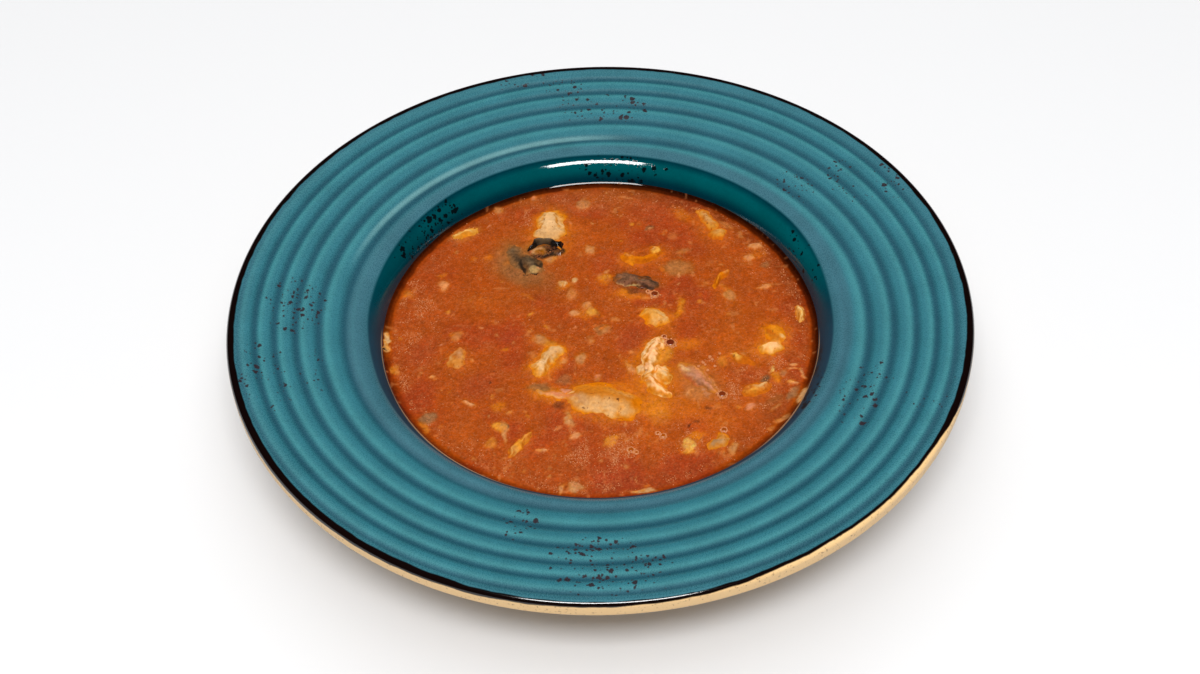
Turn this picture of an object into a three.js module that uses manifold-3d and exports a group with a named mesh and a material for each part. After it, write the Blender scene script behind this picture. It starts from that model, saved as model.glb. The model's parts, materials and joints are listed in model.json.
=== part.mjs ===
import * as THREE from 'three';
import * as BufferGeometryUtils from 'three/addons/utils/BufferGeometryUtils.js';
import Module from 'manifold-3d';

const wasm = await Module();
wasm.setup();

// A wide-rimmed soup plate filled with fish soup. Millimetres, +Z up, z = 0 under the foot ring.

// Plate, outside
const plateRadius = 135;
const plateHeight = 46;
const crownRadius = 133; // where the rim's top turns over into its rounded edge
const edgeDepth = 6.6;
const edgeTopRounding = plateRadius - crownRadius;
const edgeBottomRounding = 1.8;
const rimThickness = 5.4;
const rimSlope = 0.191;
const rimSag = 0.00017; // per mm, makes the rim steeper towards the well
const footOuterRadius = 58;
const footInnerRadius = 52;
const footTaper = 1.5;
const footRecess = 4.6;

// Well
const lipRadius = 88;
const lipRounding = 1.4;
const shoulderRounding = 2;
const floorHeight = 11;
const floorFillet = 30;
const wallThickness = 5.2;

// Soup
const soupLevel = plateHeight - 18;
const soupRadius = 80.4;
const fitGap = 0.3; // kept between touching solids

// The rim's rib is one long spiral: ribTurns(radius) counts its windings out to a radius.
const ribMidRadius = 110;
const ribTurnsAtMid = 2.377;
const ribTurnsPerMm = 0.1273;
const ribTightening = 0.00077;
const ribDepth = 0.75;
const ribBluntness = 3;
const ribFade = 3; // the groove runs out over this width at the lip and at the edge
const ribSteps = [0, 0.13, 0.36, 0.64, 0.87];
const ribClosest = 0.4; // a point nearer than this to the lip or the edge moves onto it

// Facets
const plateColumns = 64;
const filletSteps = 4;
const edgeSteps = 2;
const weldGap = 1e-4;

// Food, all at the soup's surface. A part is a bent lens: its spine is an arc that passes
// through `at` with the given heading and turns by `bend` degrees over its length.
const equatorLift = 0.2; // the widest line lies this far above the soup
const tipBluntness = 2.6;
const morselRings = 5;
const longMorselRings = 7;
const longMorsel = 16;
const morselSides = 8;
const crumbRings = 3;
const crumbSides = 6;
const crumbRise = 0.7;
const crumbSink = 1.2;
const usualSink = 4.5;
const outlineWobble = 0.14;
const leastBend = 0.01; // degrees, for a straight spine
const partSeedStep = 0.37;
const crumbSeed = 101;

const flesh = { color: 0xe6c48c, roughness: 0.5 };
const darkSkin = { color: 0x4a4640, roughness: 0.35 };
const orangeFlake = { color: 0xe08a2c, roughness: 0.45 };
const paleYellow = { color: 0xf0c46a, roughness: 0.45 };
const softBeige = { color: 0xc99a66, roughness: 0.5 };

const morsels = {
  fish_chunk_back: {
    ...flesh,
    parts: [
      { at: [-18.5, 57], length: 17, width: 13, heading: 98, bend: 0, rise: 2.2 },
      { at: [-20.2, 48.2], length: 19, width: 3.8, heading: 0, bend: -190, rise: 3 },
    ],
  },
  fish_skin_fold: {
    ...darkSkin,
    parts: [
      { at: [-31.6, 38.5], length: 17, width: 7, heading: -68, bend: 22, rise: 1 },
      { at: [-25, 33.6], length: 11, width: 7.5, heading: -75, bend: 0, rise: 2.2 },
    ],
  },
  fish_skin_strip: {
    ...darkSkin,
    parts: [{ at: [14, 23.8], length: 19, width: 8, heading: -14, bend: -20, rise: 1.8 }],
  },
  fish_chunk_front: {
    ...flesh,
    parts: [
      { at: [1, -36], length: 29, width: 15.5, heading: -14, bend: -6, rise: 2.4 },
      { at: [-17.5, -32], length: 16, width: 4.2, heading: -14, bend: 16, rise: 1.2 },
    ],
  },
  fish_flake_ridge: {
    ...flesh,
    parts: [{ at: [17.9, -19.8], length: 32, width: 8.6, heading: -96, bend: 56, rise: 2.6 }],
  },
  fish_flake_left: {
    ...flesh,
    parts: [
      { at: [-17.7, -12.3], length: 10, width: 6.6, heading: 52, bend: 0, rise: 1.4 },
      { at: [-21.8, -18.9], length: 10.5, width: 7.6, heading: 68, bend: 0, rise: 1.7 },
    ],
  },
  fish_flakes_right: {
    ...flesh,
    parts: [{ at: [55.6, -32.3], length: 12.5, width: 5.4, heading: 26, bend: 24, rise: 1.6 }],
  },
  fish_skin_shred: {
    ...softBeige,
    parts: [{ at: [35, -26.5], length: 20, width: 6.4, heading: -50, bend: -12, rise: 0.9 }],
  },
  yellow_piece_left: {
    ...paleYellow,
    parts: [{ at: [-52, 53], length: 11.5, width: 4.8, heading: 20, bend: 12, rise: 1.3, sink: 1.6 }],
  },
  yellow_piece_back: {
    ...paleYellow,
    parts: [
      { at: [43.6, 57.6], length: 13.5, width: 6.6, heading: -64, bend: 0, rise: 1.1 },
      { at: [47, 49.2], length: 8, width: 7.2, heading: 20, bend: 0, rise: 1.1 },
    ],
  },
  yellow_piece_right: {
    ...paleYellow,
    parts: [
      { at: [62.4, -12.4], length: 8.6, width: 5.2, heading: 26, bend: 0, rise: 1.6 },
      { at: [64.8, -5.4], length: 10.5, width: 8, heading: -58, bend: 0, rise: 0.9 },
    ],
  },
  yellow_sliver: {
    ...paleYellow,
    parts: [{ at: [74.6, 4.4], length: 9, width: 2.8, heading: 86, bend: 8, rise: 1, sink: 1.6 }],
  },
  orange_hook: {
    ...orangeFlake,
    parts: [{ at: [17.2, 35.4], length: 18, width: 3.8, heading: 8, bend: 112, rise: 1.4 }],
  },
  orange_curl: {
    ...orangeFlake,
    parts: [{ at: [46, 24], length: 11.5, width: 2.8, heading: -122, bend: 46, rise: 1.2 }],
  },
  orange_slice: {
    ...orangeFlake,
    parts: [{ at: [51.6, -17.8], length: 12, width: 4.8, heading: -34, bend: -24, rise: 1.2 }],
  },
  orange_strip: {
    ...orangeFlake,
    parts: [{ at: [-29.2, -55], length: 13.5, width: 3.8, heading: 54, bend: 14, rise: 1.4 }],
  },
  cream_lump: {
    ...flesh,
    parts: [{ at: [20.6, 4.6], length: 12, width: 8.4, heading: -42, bend: 0, rise: 1.6 }],
  },
  soft_piece_left: {
    ...softBeige,
    parts: [{ at: [-52.6, -13.4], length: 11.5, width: 7.4, heading: 66, bend: 0, rise: 1 }],
  },
  grey_piece_front: {
    ...softBeige,
    parts: [{ at: [40, -56.6], length: 8.8, width: 6, heading: 34, bend: 0, rise: 1.3 }],
  },
};

// Small bits fused to the soup: x, y, length, width, heading
const crumbs = [
  [-5, 69, 5, 4.6, 60],
  [-39, 66, 3.4, 3, 0],
  [-3, 42.6, 5, 4, 110],
  [61.6, 41.4, 4, 3.2, 10],
  [58.4, 35.4, 3.6, 3.2, 60],
  [33, 40, 5.4, 2.6, 15],
  [63, 19.5, 5, 2.2, 12],
  [49, 15.4, 6, 4.8, -45],
  [30.2, 9.6, 8.5, 2.4, 76],
  [-14, 24.6, 3, 2.4, 20],
  [-9.8, 25.8, 2.8, 2.4, 80],
  [-11, 18, 4.8, 3.4, 70],
  [-3.4, 10.2, 6.4, 4.6, -58],
  [-9.8, 8.6, 4.2, 2.6, 15],
  [1, 0, 5.6, 4.4, 30],
  [-59.5, 25, 5, 3, 85],
  [-53, 0, 5, 3, 60],
  [-7.4, -15, 4.8, 3.6, 50],
  [10.6, -19.6, 6, 2.4, -62],
  [-12, -44, 5.6, 2.6, -80],
  [-36.2, -46.4, 4.8, 3, -45],
  [-39, -54.2, 4, 3.4, 10],
  [2.4, -54.4, 5, 3.4, 40],
  [30, -57, 5.6, 4.8, 90],
  [45.2, -60, 4.4, 3, 60],
  [-9.6, -74, 5, 4, 0],
  [62.6, -24.6, 5.4, 2.4, -70],
  [67.6, -35, 6, 3.8, 62],
];

const degrees = Math.PI / 180;

function rimTop(radius) {
  const inward = crownRadius - radius;
  return plateHeight - rimSlope * inward - rimSag * inward * inward;
}

function ribTurns(radius) {
  const outward = radius - ribMidRadius;
  return ribTurnsAtMid + ribTurnsPerMm * outward + ribTightening * outward * outward;
}

function ribRadius(turns) {
  const root = Math.sqrt(ribTurnsPerMm ** 2 + 4 * ribTightening * (turns - ribTurnsAtMid));
  return ribMidRadius + (root - ribTurnsPerMm) / (2 * ribTightening);
}

// How far the surface lies below the ribs' crests, at a radius and a fraction of a turn.
function grooveDepth(radius, turn) {
  const phase = THREE.MathUtils.euclideanModulo(ribTurns(radius) - turn, 1);
  const hollow = Math.abs(2 * phase - 1) ** ribBluntness;
  const atLip = THREE.MathUtils.smoothstep(radius, lipRadius, lipRadius + ribFade);
  const atEdge = 1 - THREE.MathUtils.smoothstep(radius, crownRadius - ribFade, crownRadius);
  return ribDepth * hollow * atLip * atEdge;
}

const lipHeight = rimTop(lipRadius);
const wallAngle = Math.atan2(lipHeight - soupLevel, lipRadius - soupRadius);
const cornerRadius = soupRadius - (soupLevel - floorHeight) / Math.tan(wallAngle);
const filletStart = cornerRadius - floorFillet * Math.tan(wallAngle / 2);
const filletCentreHeight = floorHeight + floorFillet;

// The well's section from the flat floor up the wall, moved outwards by `offset`.
function wellSection(offset, topHeight) {
  const reach = floorFillet + offset;
  const section = [];
  for (let step = 0; step <= filletSteps; step++) {
    const angle = wallAngle * step / filletSteps;
    section.push([filletStart + reach * Math.sin(angle), filletCentreHeight - reach * Math.cos(angle)]);
  }
  const wallRadius = soupRadius + offset / Math.sin(wallAngle);
  section.push([wallRadius + (topHeight - soupLevel) / Math.tan(wallAngle), topHeight]);
  return section;
}

// The ribbed top of the rim: each column's points sit at the same places across the rib,
// so the mesh lines run along the spiral. Points past the rim collapse onto its borders.
function ribbedSection(turn) {
  const inner = lipRadius;
  const outer = crownRadius;
  const firstTurn = Math.floor(ribTurns(inner)) - 1;
  const lastTurn = Math.ceil(ribTurns(outer));
  const section = [];
  for (let winding = firstTurn; winding <= lastTurn; winding++) {
    for (const across of ribSteps) {
      let radius = ribRadius(winding + across + turn);
      if (radius < inner + ribClosest) radius = inner;
      if (radius > outer - ribClosest) radius = outer;
      section.push([radius, rimTop(radius) - grooveDepth(radius, turn)]);
    }
  }
  return section;
}

// A rounded corner of the rim's edge, from its far end down or up to the plate's full radius.
function cornerArc(centreHeight, rounding, side) {
  const section = [];
  for (let step = edgeSteps; step >= 0; step--) {
    const angle = Math.PI / 2 * step / edgeSteps;
    const radius = plateRadius - rounding + rounding * Math.cos(angle);
    section.push([radius, centreHeight + side * rounding * Math.sin(angle)]);
  }
  return section;
}

// Round the edge, along the underside of the rim and the well, and over the foot ring.
function undersideSection() {
  const footTopRadius = footOuterRadius + footTaper;
  const footTop = filletCentreHeight
    - Math.sqrt((floorFillet + wallThickness) ** 2 - (footTopRadius - filletStart) ** 2);
  const shoulder = lipHeight - wallThickness - shoulderRounding;
  const well = wellSection(wallThickness, shoulder)
    .filter(([radius]) => radius > footTopRadius + footTaper)
    .reverse();
  const rimStart = well[0][0] + 3 * shoulderRounding;
  return [
    ...cornerArc(plateHeight - edgeTopRounding, edgeTopRounding, 1),
    ...cornerArc(plateHeight - edgeDepth + edgeBottomRounding, edgeBottomRounding, -1).reverse(),
    [ribMidRadius, rimTop(ribMidRadius) - rimThickness],
    [rimStart, rimTop(rimStart) - rimThickness],
    ...well,
    [footTopRadius, footTop],
    [footOuterRadius, 0],
    [footInnerRadius, 0],
    [footInnerRadius - footTaper, footRecess],
    [0, footRecess],
  ];
}

function plateSection(turn) {
  return [
    [0, floorHeight],
    ...wellSection(0, lipHeight - lipRounding),
    ...ribbedSection(turn),
    ...undersideSection(),
  ];
}

// A closed skin over columns of points; the first and last points of all columns are its poles.
function skin(columns) {
  const positions = [];
  const push = (...corners) => corners.forEach((corner) => positions.push(...corner));
  for (let i = 0; i < columns.length - 1; i++) {
    for (let j = 0; j < columns[i].length - 1; j++) {
      push(columns[i][j], columns[i + 1][j], columns[i + 1][j + 1]);
      push(columns[i][j], columns[i + 1][j + 1], columns[i][j + 1]);
    }
  }
  const geometry = new THREE.BufferGeometry();
  geometry.setAttribute('position', new THREE.Float32BufferAttribute(positions, 3));
  return geometry;
}

function weld(geometry) {
  const bare = geometry.clone();
  bare.deleteAttribute('normal');
  bare.deleteAttribute('uv');
  const welded = BufferGeometryUtils.mergeVertices(bare, weldGap);
  const corners = welded.index.array;
  const kept = [];
  for (let i = 0; i < corners.length; i += 3) {
    const [a, b, c] = corners.slice(i, i + 3);
    if (a !== b && b !== c && c !== a) kept.push(a, b, c);
  }
  welded.setIndex(kept);
  return welded;
}

function toSolid(geometry) {
  const welded = weld(geometry);
  return new wasm.Manifold(new wasm.Mesh({
    numProp: 3,
    vertProperties: new Float32Array(welded.attributes.position.array),
    triVerts: new Uint32Array(welded.index.array),
  }));
}

function toGeometry(solid) {
  const mesh = solid.getMesh();
  const geometry = new THREE.BufferGeometry();
  geometry.setAttribute('position', new THREE.BufferAttribute(mesh.vertProperties, 3));
  geometry.setIndex(new THREE.BufferAttribute(mesh.triVerts, 1));
  geometry.computeVertexNormals();
  return geometry;
}

function seededRandom(seed) {
  let state = seed * 2654435761 % 4294967296;
  return () => {
    state = (state * 1664525 + 1013904223) % 4294967296;
    return state / 4294967296;
  };
}

// Uneven outline: a factor near 1 that varies along the piece, its own on each flank.
function makeWobble(random) {
  const waves = [1, 2].map((count) => ({ count, left: random(), right: random() }));
  return (along, across) => waves.reduce((factor, wave) => {
    const phase = across > 0 ? wave.right : wave.left;
    return factor + outlineWobble / wave.count * Math.sin(2 * Math.PI * (wave.count * along + phase));
  }, 1);
}

function spinePoint(part, along) {
  const bend = (part.bend || leastBend) * degrees;
  const middle = part.heading * degrees;
  const heading = middle + bend * (along - 0.5);
  const radius = part.length / bend;
  const x = part.at[0] + radius * (Math.sin(heading) - Math.sin(middle));
  const y = part.at[1] - radius * (Math.cos(heading) - Math.cos(middle));
  return { x, y, heading };
}

// One bent lens of food, with `swell` added all round for the pocket that it sits in.
function lensGeometry(part, seed, swell, rings, sides) {
  const wobble = makeWobble(seededRandom(seed));
  const sink = part.sink ?? usualSink;
  const stretch = 1 + 2 * swell / part.length;
  const longer = { ...part, length: part.length * stretch, bend: part.bend * stretch };
  const columns = [];
  for (let i = 0; i <= sides; i++) {
    const angle = 2 * Math.PI * (i % sides) / sides;
    const column = [];
    for (let j = 0; j <= rings + 1; j++) {
      const along = (1 - Math.cos(Math.PI * j / (rings + 1))) / 2;
      const fullness = Math.sqrt(Math.max(0, 1 - Math.abs(2 * along - 1) ** tipBluntness));
      const { x, y, heading } = spinePoint(longer, along);
      const halfWidth = part.width / 2 * wobble(along, Math.cos(angle)) + swell;
      const halfHeight = (Math.sin(angle) > 0 ? part.rise : sink) + swell;
      const across = halfWidth * fullness * Math.cos(angle);
      const up = halfHeight * fullness * Math.sin(angle);
      column.push([
        x - across * Math.sin(heading),
        y + across * Math.cos(heading),
        soupLevel + equatorLift + up,
      ]);
    }
    columns.push(column);
  }
  return skin(columns);
}

function morselSolid(parts, seed, swell) {
  return parts.map((part, index) => {
    const rings = part.length > longMorsel ? longMorselRings : morselRings;
    return toSolid(lensGeometry(part, seed + index * partSeedStep, swell, rings, morselSides));
  }).reduce((whole, solid) => whole.add(solid));
}

function crumbSolid([x, y, length, width, heading], seed) {
  const part = { at: [x, y], length, width, heading, bend: 0, rise: crumbRise, sink: crumbSink };
  return toSolid(lensGeometry(part, seed, 0, crumbRings, crumbSides));
}

function plateGeometry() {
  const columns = [];
  for (let i = 0; i <= plateColumns; i++) {
    const angle = 2 * Math.PI * (i % plateColumns) / plateColumns;
    const section = plateSection(i / plateColumns);
    columns.push(section.map(([radius, z]) => [radius * Math.cos(angle), -radius * Math.sin(angle), z]));
  }
  return weld(skin(columns));
}

function soupGeometry() {
  const section = wellSection(-fitGap, soupLevel).map(([radius, z]) => new THREE.Vector2(radius, z));
  const outline = [
    new THREE.Vector2(0, section[0].y),
    ...section,
    new THREE.Vector2(0, soupLevel),
  ];
  const body = new THREE.LatheGeometry(outline, plateColumns).rotateX(Math.PI / 2);
  let soup = toSolid(body);
  crumbs.forEach((crumb, index) => {
    soup = soup.add(crumbSolid(crumb, crumbSeed + index));
  });
  Object.values(morsels).forEach(({ parts }, index) => {
    soup = soup.subtract(morselSolid(parts, index + 1, fitGap));
  });
  return toGeometry(soup);
}

function addPiece(group, name, geometry, { color, roughness }) {
  const material = new THREE.MeshStandardMaterial({ color, roughness, metalness: 0 });
  const mesh = new THREE.Mesh(geometry, material);
  mesh.name = name;
  group.add(mesh);
}

const group = new THREE.Group();
addPiece(group, 'plate', plateGeometry(), { color: 0x3f8490, roughness: 0.25 });
addPiece(group, 'soup', soupGeometry(), { color: 0xb64a18, roughness: 0.3 });
Object.entries(morsels).forEach(([name, piece], index) => {
  addPiece(group, name, toGeometry(morselSolid(piece.parts, index + 1, 0)), piece);
});

export default group;
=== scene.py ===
import json
import math

import bpy
import numpy as np
from mathutils import Matrix, Vector


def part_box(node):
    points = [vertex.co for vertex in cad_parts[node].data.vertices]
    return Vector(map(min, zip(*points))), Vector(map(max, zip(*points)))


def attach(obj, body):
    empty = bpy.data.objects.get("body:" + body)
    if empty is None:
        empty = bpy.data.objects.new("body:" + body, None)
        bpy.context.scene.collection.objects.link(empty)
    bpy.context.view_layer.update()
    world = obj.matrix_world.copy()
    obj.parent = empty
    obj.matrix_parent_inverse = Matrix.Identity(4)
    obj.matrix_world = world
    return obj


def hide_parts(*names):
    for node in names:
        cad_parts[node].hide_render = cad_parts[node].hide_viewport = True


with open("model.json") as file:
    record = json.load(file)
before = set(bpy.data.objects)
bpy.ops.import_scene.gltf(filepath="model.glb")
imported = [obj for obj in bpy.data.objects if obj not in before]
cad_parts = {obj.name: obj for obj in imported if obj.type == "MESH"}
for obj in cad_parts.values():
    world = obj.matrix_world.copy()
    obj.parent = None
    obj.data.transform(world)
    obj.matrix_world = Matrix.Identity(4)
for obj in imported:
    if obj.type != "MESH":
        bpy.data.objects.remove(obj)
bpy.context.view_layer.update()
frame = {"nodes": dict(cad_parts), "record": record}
print("frame loaded with", len(frame["nodes"]), "nodes")

# Sizes are in millimetres, as on the part's drawing, and become metres where a mesh is made.
mm = 0.001
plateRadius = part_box("plate")[1].x / mm
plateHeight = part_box("plate")[1].z / mm

# Camera, floor and light

camera = {
    "stands": (0, -426.3, plateHeight + 432.4),
    "looksAt": (-0.12, -21.4, plateHeight),
    "roll": math.radians(1.677),
    "lens": 50.01,
    "sensor": 36,
}

studio = {
    "floorSize": 30,
    "floorColour": (0.522, 0.524, 0.53),
    "room": 0.26,
    # name: (azimuth from the front, elevation, distance, width, height, watts, shows in reflections)
    "lamps": {
        "key": (0, 62, 2.2, 1.12, 0.44, 44, True),
        "fill": (0, 66, 2.2, 2.0, 1.5, 33, False),
        "sky": (180, 64, 2.8, 3.0, 3.2, 49, False),
    },
}


def addToScene(name, data):
    made = bpy.data.objects.new(name, data)
    bpy.context.scene.collection.objects.link(made)
    return made


def makeCamera():
    place, target = Vector(camera["stands"]), Vector(camera["looksAt"])
    ahead = (target - place).normalized()
    level = ahead.cross(Vector((0, 0, 1))).normalized()
    down = ahead.cross(level)
    turn, tip = math.cos(camera["roll"]), math.sin(camera["roll"])
    right = turn * level + tip * down
    up = tip * level - turn * down
    data = bpy.data.cameras.new("camera")
    data.lens, data.sensor_width = camera["lens"], camera["sensor"]
    data.clip_start, data.clip_end = 0.01, 100
    holder = addToScene("camera", data)
    axes = Matrix((right, up, -ahead)).transposed().to_4x4()
    holder.matrix_world = Matrix.Translation(place * mm) @ axes
    bpy.context.scene.camera = holder


def makeLamps():
    middle = Vector((0, 0, plateHeight / 2 * mm))
    for name, (azimuth, elevation, distance, width, height, watts, mirrored) in studio["lamps"].items():
        around, above = math.radians(azimuth), math.radians(elevation)
        across, ahead = math.sin(around) * math.cos(above), math.cos(around) * math.cos(above)
        away = Vector((across, -ahead, math.sin(above)))
        data = bpy.data.lights.new(name, "AREA")
        data.shape, data.size, data.size_y, data.energy = "RECTANGLE", width, height, watts
        lamp = addToScene(name, data)
        lamp.location = middle + away * distance
        lamp.visible_glossy = mirrored
        lamp.rotation_mode = "QUATERNION"
        lamp.rotation_quaternion = away.to_track_quat("Z", "Y")


# Small tools for shapes


def smoothStep(low, high, value):
    share = np.clip((value - low) / (high - low), 0, 1)
    return share * share * (3 - 2 * share)


def within(value, start, full, fading, end):
    # rises to 1 from `start` to `full` and falls to 0 from `fading` to `end`
    return smoothStep(start, full, value) * (1 - smoothStep(fading, end, value))


def noise(points, cell, seed):
    # smooth noise from -1 to 1 over a grid of `cell` millimetres, the same on every run
    scaled = np.asarray(points, float) / cell
    corner = np.floor(scaled).astype(np.int64)
    part = scaled - corner
    part = part * part * (3 - 2 * part)
    primes = (73856093, 19349663, 83492791)
    total = np.zeros(len(scaled))
    for sides in np.ndindex(*(2,) * scaled.shape[1]):
        key = np.full(len(scaled), seed * 974711, np.int64)
        weight = np.ones(len(scaled))
        for axis, side in enumerate(sides):
            key = key ^ ((corner[:, axis] + side) * primes[axis])
            weight = weight * (part[:, axis] if side else 1 - part[:, axis])
        key = ((key ^ (key >> 13)) * 1274126177) & 0xFFFFFFFF
        key = ((key ^ (key >> 15)) * 1597334677) & 0xFFFFFFFF
        total += weight * (((key >> 8) & 0xFFFF) / 32767.5 - 1)
    return total


def seededRandom(seed):
    state = seed * 2654435761 % 4294967296
    while True:
        state = (state * 1664525 + 1013904223) % 4294967296
        yield state / 4294967296


def makeObject(name, points, faces):
    mesh = bpy.data.meshes.new(name)
    mesh.from_pydata((np.asarray(points) * mm).tolist(), [], faces)
    mesh.shade_smooth()
    return addToScene(name, mesh)


def setAttribute(piece, name, values):
    values = np.asarray(values, np.float32)
    kind = "FLOAT" if values.ndim == 1 else "FLOAT_COLOR"
    if values.ndim == 2:
        values = np.hstack([values, np.ones((len(values), 1), np.float32)])
    attribute = piece.data.attributes.new(name, kind, "POINT")
    attribute.data.foreach_set("value" if kind == "FLOAT" else "color", values.ravel())


def meshValues(piece, key):
    flat = np.zeros(len(piece.data.vertices) * 3, np.float32)
    piece.data.vertices.foreach_get(key, flat)
    return flat.reshape(-1, 3).astype(float)


def movePoints(piece, points):
    piece.data.vertices.foreach_set("co", (points * mm).astype(np.float32).ravel())
    piece.data.update()


def bakeModifiers(piece, name):
    # turns what the modifiers make into a plain mesh
    graph = bpy.context.evaluated_depsgraph_get()
    mesh = bpy.data.meshes.new_from_object(piece.evaluated_get(graph))
    mesh.name = name
    made = addToScene(name, mesh)
    bpy.data.objects.remove(piece)
    return made


def latheFaces(rows, columns, topPole, endPole):
    faces = []
    for j in range(rows - 1):
        for i in range(columns):
            k = (i + 1) % columns
            faces.append((j * columns + i, j * columns + k, (j + 1) * columns + k, (j + 1) * columns + i))
    last = (rows - 1) * columns
    for i in range(columns):
        k = (i + 1) % columns
        faces += [(topPole, k, i), (last + i, last + k, endPole)]
    return faces


# Small tools for colours and materials

# Colours as they look in daylight, red, green and blue out of 255.
palette = {
    "broth": (187, 79, 13),
    "red": (178, 60, 26),
    "rose": (172, 62, 42),
    "brown": (152, 80, 30),
    "umber": (96, 44, 22),
    "orange": (216, 106, 18),
    "amber": (236, 128, 10),
    "gold": (242, 158, 50),
    "yellow": (254, 192, 92),
    "lemon": (254, 204, 122),
    "cream": (248, 192, 128),
    "white": (255, 206, 150),
    "flash": (292, 218, 154),
    "honey": (214, 122, 32),
    "resin": (152, 84, 4),
    "marigold": (250, 152, 34),
    "peach": (240, 158, 98),
    "pink": (234, 146, 112),
    "mauve": (204, 138, 104),
    "beige": (214, 142, 84),
    "tan": (220, 160, 102),
    "olive": (172, 102, 46),
    "grey": (158, 114, 76),
    "slate": (116, 92, 66),
    "hide": (142, 92, 66),
    "bark": (86, 62, 42),
    "straw": (214, 174, 108),
    "charcoal": (60, 48, 34),
    "black": (24, 20, 18),
    "foam": (222, 126, 70),
    "bead": (234, 148, 94),
    # painted reflection: the dark middle of a clear bubble
    "darkBubbleReflection": (124, 46, 20),
}
colourGain = 0.46  # dims the colours above, as the studio's light is stronger than daylight


def linear(colour):
    share = np.asarray(colour, float) / 255
    return np.where(share <= 0.04045, share / 12.92, ((share + 0.055) / 1.055) ** 2.4) * colourGain


def newMaterial(name):
    material = bpy.data.materials.new(name)
    material.use_nodes = True
    tree = material.node_tree
    return material, tree, tree.nodes["Principled BSDF"]


def setInputs(node, inputs):
    # joins sockets and sets plain values
    for key, value in inputs.items():
        if isinstance(value, bpy.types.NodeSocket):
            node.id_data.links.new(value, node.inputs[key])
        else:
            node.inputs[key].default_value = value


def addNode(tree, kind, inputs=None, **settings):
    made = tree.nodes.new(kind)
    for name, value in settings.items():
        setattr(made, name, value)
    setInputs(made, inputs or {})
    return made


def treeOf(*values):
    # the tree that the first socket among the values belongs to
    return next(value.id_data for value in values if isinstance(value, bpy.types.NodeSocket))


def calc(operation, *values):
    # a math node over sockets and numbers
    inputs = dict(enumerate(values))
    return addNode(treeOf(*values), "ShaderNodeMath", inputs, operation=operation).outputs[0]


def chain(operation, values):
    total = values[0]
    for value in values[1:]:
        total = calc(operation, total, value)
    return total


def plus(*values):
    return chain("ADD", values)


def times(*values):
    return chain("MULTIPLY", values)


def highest(*values):
    return chain("MAXIMUM", values)


def minus(first, second):
    return calc("SUBTRACT", first, second)


def blendColour(share, first, second, mode="MIX"):
    tree = treeOf(share, first, second)
    made = addNode(tree, "ShaderNodeMix", {"Factor": share}, data_type="RGBA", blend_type=mode)
    for key, value in ((6, first), (7, second)):
        setInputs(made, {key: value if isinstance(value, bpy.types.NodeSocket) else (*linear(value), 1)})
    return made.outputs[2]


def layered(colour, *layers):
    # lays each layer's colour over what is there, by its share
    for share, over in layers:
        colour = blendColour(share, colour, over)
    return colour


def attributeOf(tree, name, output="Fac"):
    return addNode(tree, "ShaderNodeAttribute", attribute_name=name).outputs[output]


def noiseOf(place, size, detail=2.0, offset=0.0):
    # noise from 0 to 1 whose blots are about `size` millimetres
    tree = place.id_data
    moved = addNode(tree, "ShaderNodeMapping", {"Vector": place, "Location": (offset, offset, offset)})
    inputs = {"Vector": moved.outputs[0], "Scale": 1 / (size * mm), "Detail": detail}
    return addNode(tree, "ShaderNodeTexNoise", inputs).outputs["Fac"]


def between(value, low, high, out=(0.0, 1.0), kind="LINEAR"):
    inputs = {"Value": value, "From Min": low, "From Max": high, "To Min": out[0], "To Max": out[1]}
    return addNode(value.id_data, "ShaderNodeMapRange", inputs, interpolation_type=kind).outputs[0]


def shaded(colour, *shades):
    # the colour times the sum of the shades
    shade = plus(*shades)
    tone = addNode(shade.id_data, "ShaderNodeCombineColor", {0: shade, 1: shade, 2: shade}).outputs[0]
    return blendColour(1.0, colour, tone, "MULTIPLY")


def fadeTo(share, first, second):
    return addNode(share.id_data, "ShaderNodeMix", {"Factor": share, 2: first, 3: second}).outputs[0]


def bumpOf(height, distance, strength):
    inputs = {"Height": height, "Distance": distance * mm, "Strength": strength}
    return addNode(height.id_data, "ShaderNodeBump", inputs).outputs[0]


# Plate

plate = {
    "columns": 384,
    "crownRadius": plateRadius - 2,
    "rimBend": 110,  # radius where the rim's underside bends
    "edgeDepth": 6.6,
    "edgeRounding": (2, 1.8),
    "rimThickness": 5.4,
    "rimSlope": 0.191,
    "rimSag": 0.00017,
    "lipRadius": 88,
    "lipStart": 88.9,
    "wallSlopes": (14, 66),  # degrees, at the lip and at the broth
    "floorHeight": 11,
    "floorFillet": 30,
    "wallThickness": 5.2,
    "footRadii": (58, 52),
    "footTaper": 1.5,
    "footRecess": 4.6,
    "rimStep": 0.42,
    # the shine of this crest is a painted highlight
    "highlightCrest": 96.9,  # radius of the one crest that shines at the back left
    # the teal's further reach in front is painted light on the lip's curve
    "tealEnds": (88, 2.3),  # radius where the teal ends, and how much further in it reaches in front
    # azimuths where each of these starts, is full, fades and ends
    "highlightCrestOn": (192, 215, 262, 284),
    "litLipReachOn": (115, 135, 165, 185),
    "driedOn": ((104, 124, 176, 182), (2, 10, 40, 56)),
    "wetOn": (6, 16, 36, 46),
    "greyBand": (126.5, 131),  # radii over which the teal turns grey
    "innerBand": (91.5, 94),
}
soup = {
    "level": plateHeight - 18,
    "radius": 80.4,
    "fitGap": 0.3,
    "grid": 290,
    "dip": 0.5,  # the open surface lies this far below the part's level
    "meniscus": 4.6,  # radius of the surface's curl against the wall
    "curl": math.radians(46),  # how steep the surface ends there
    "tighten": (0.06, 12),  # how the grid's cells narrow towards the wall
    "reachIntoWall": 0.12,
}
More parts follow.
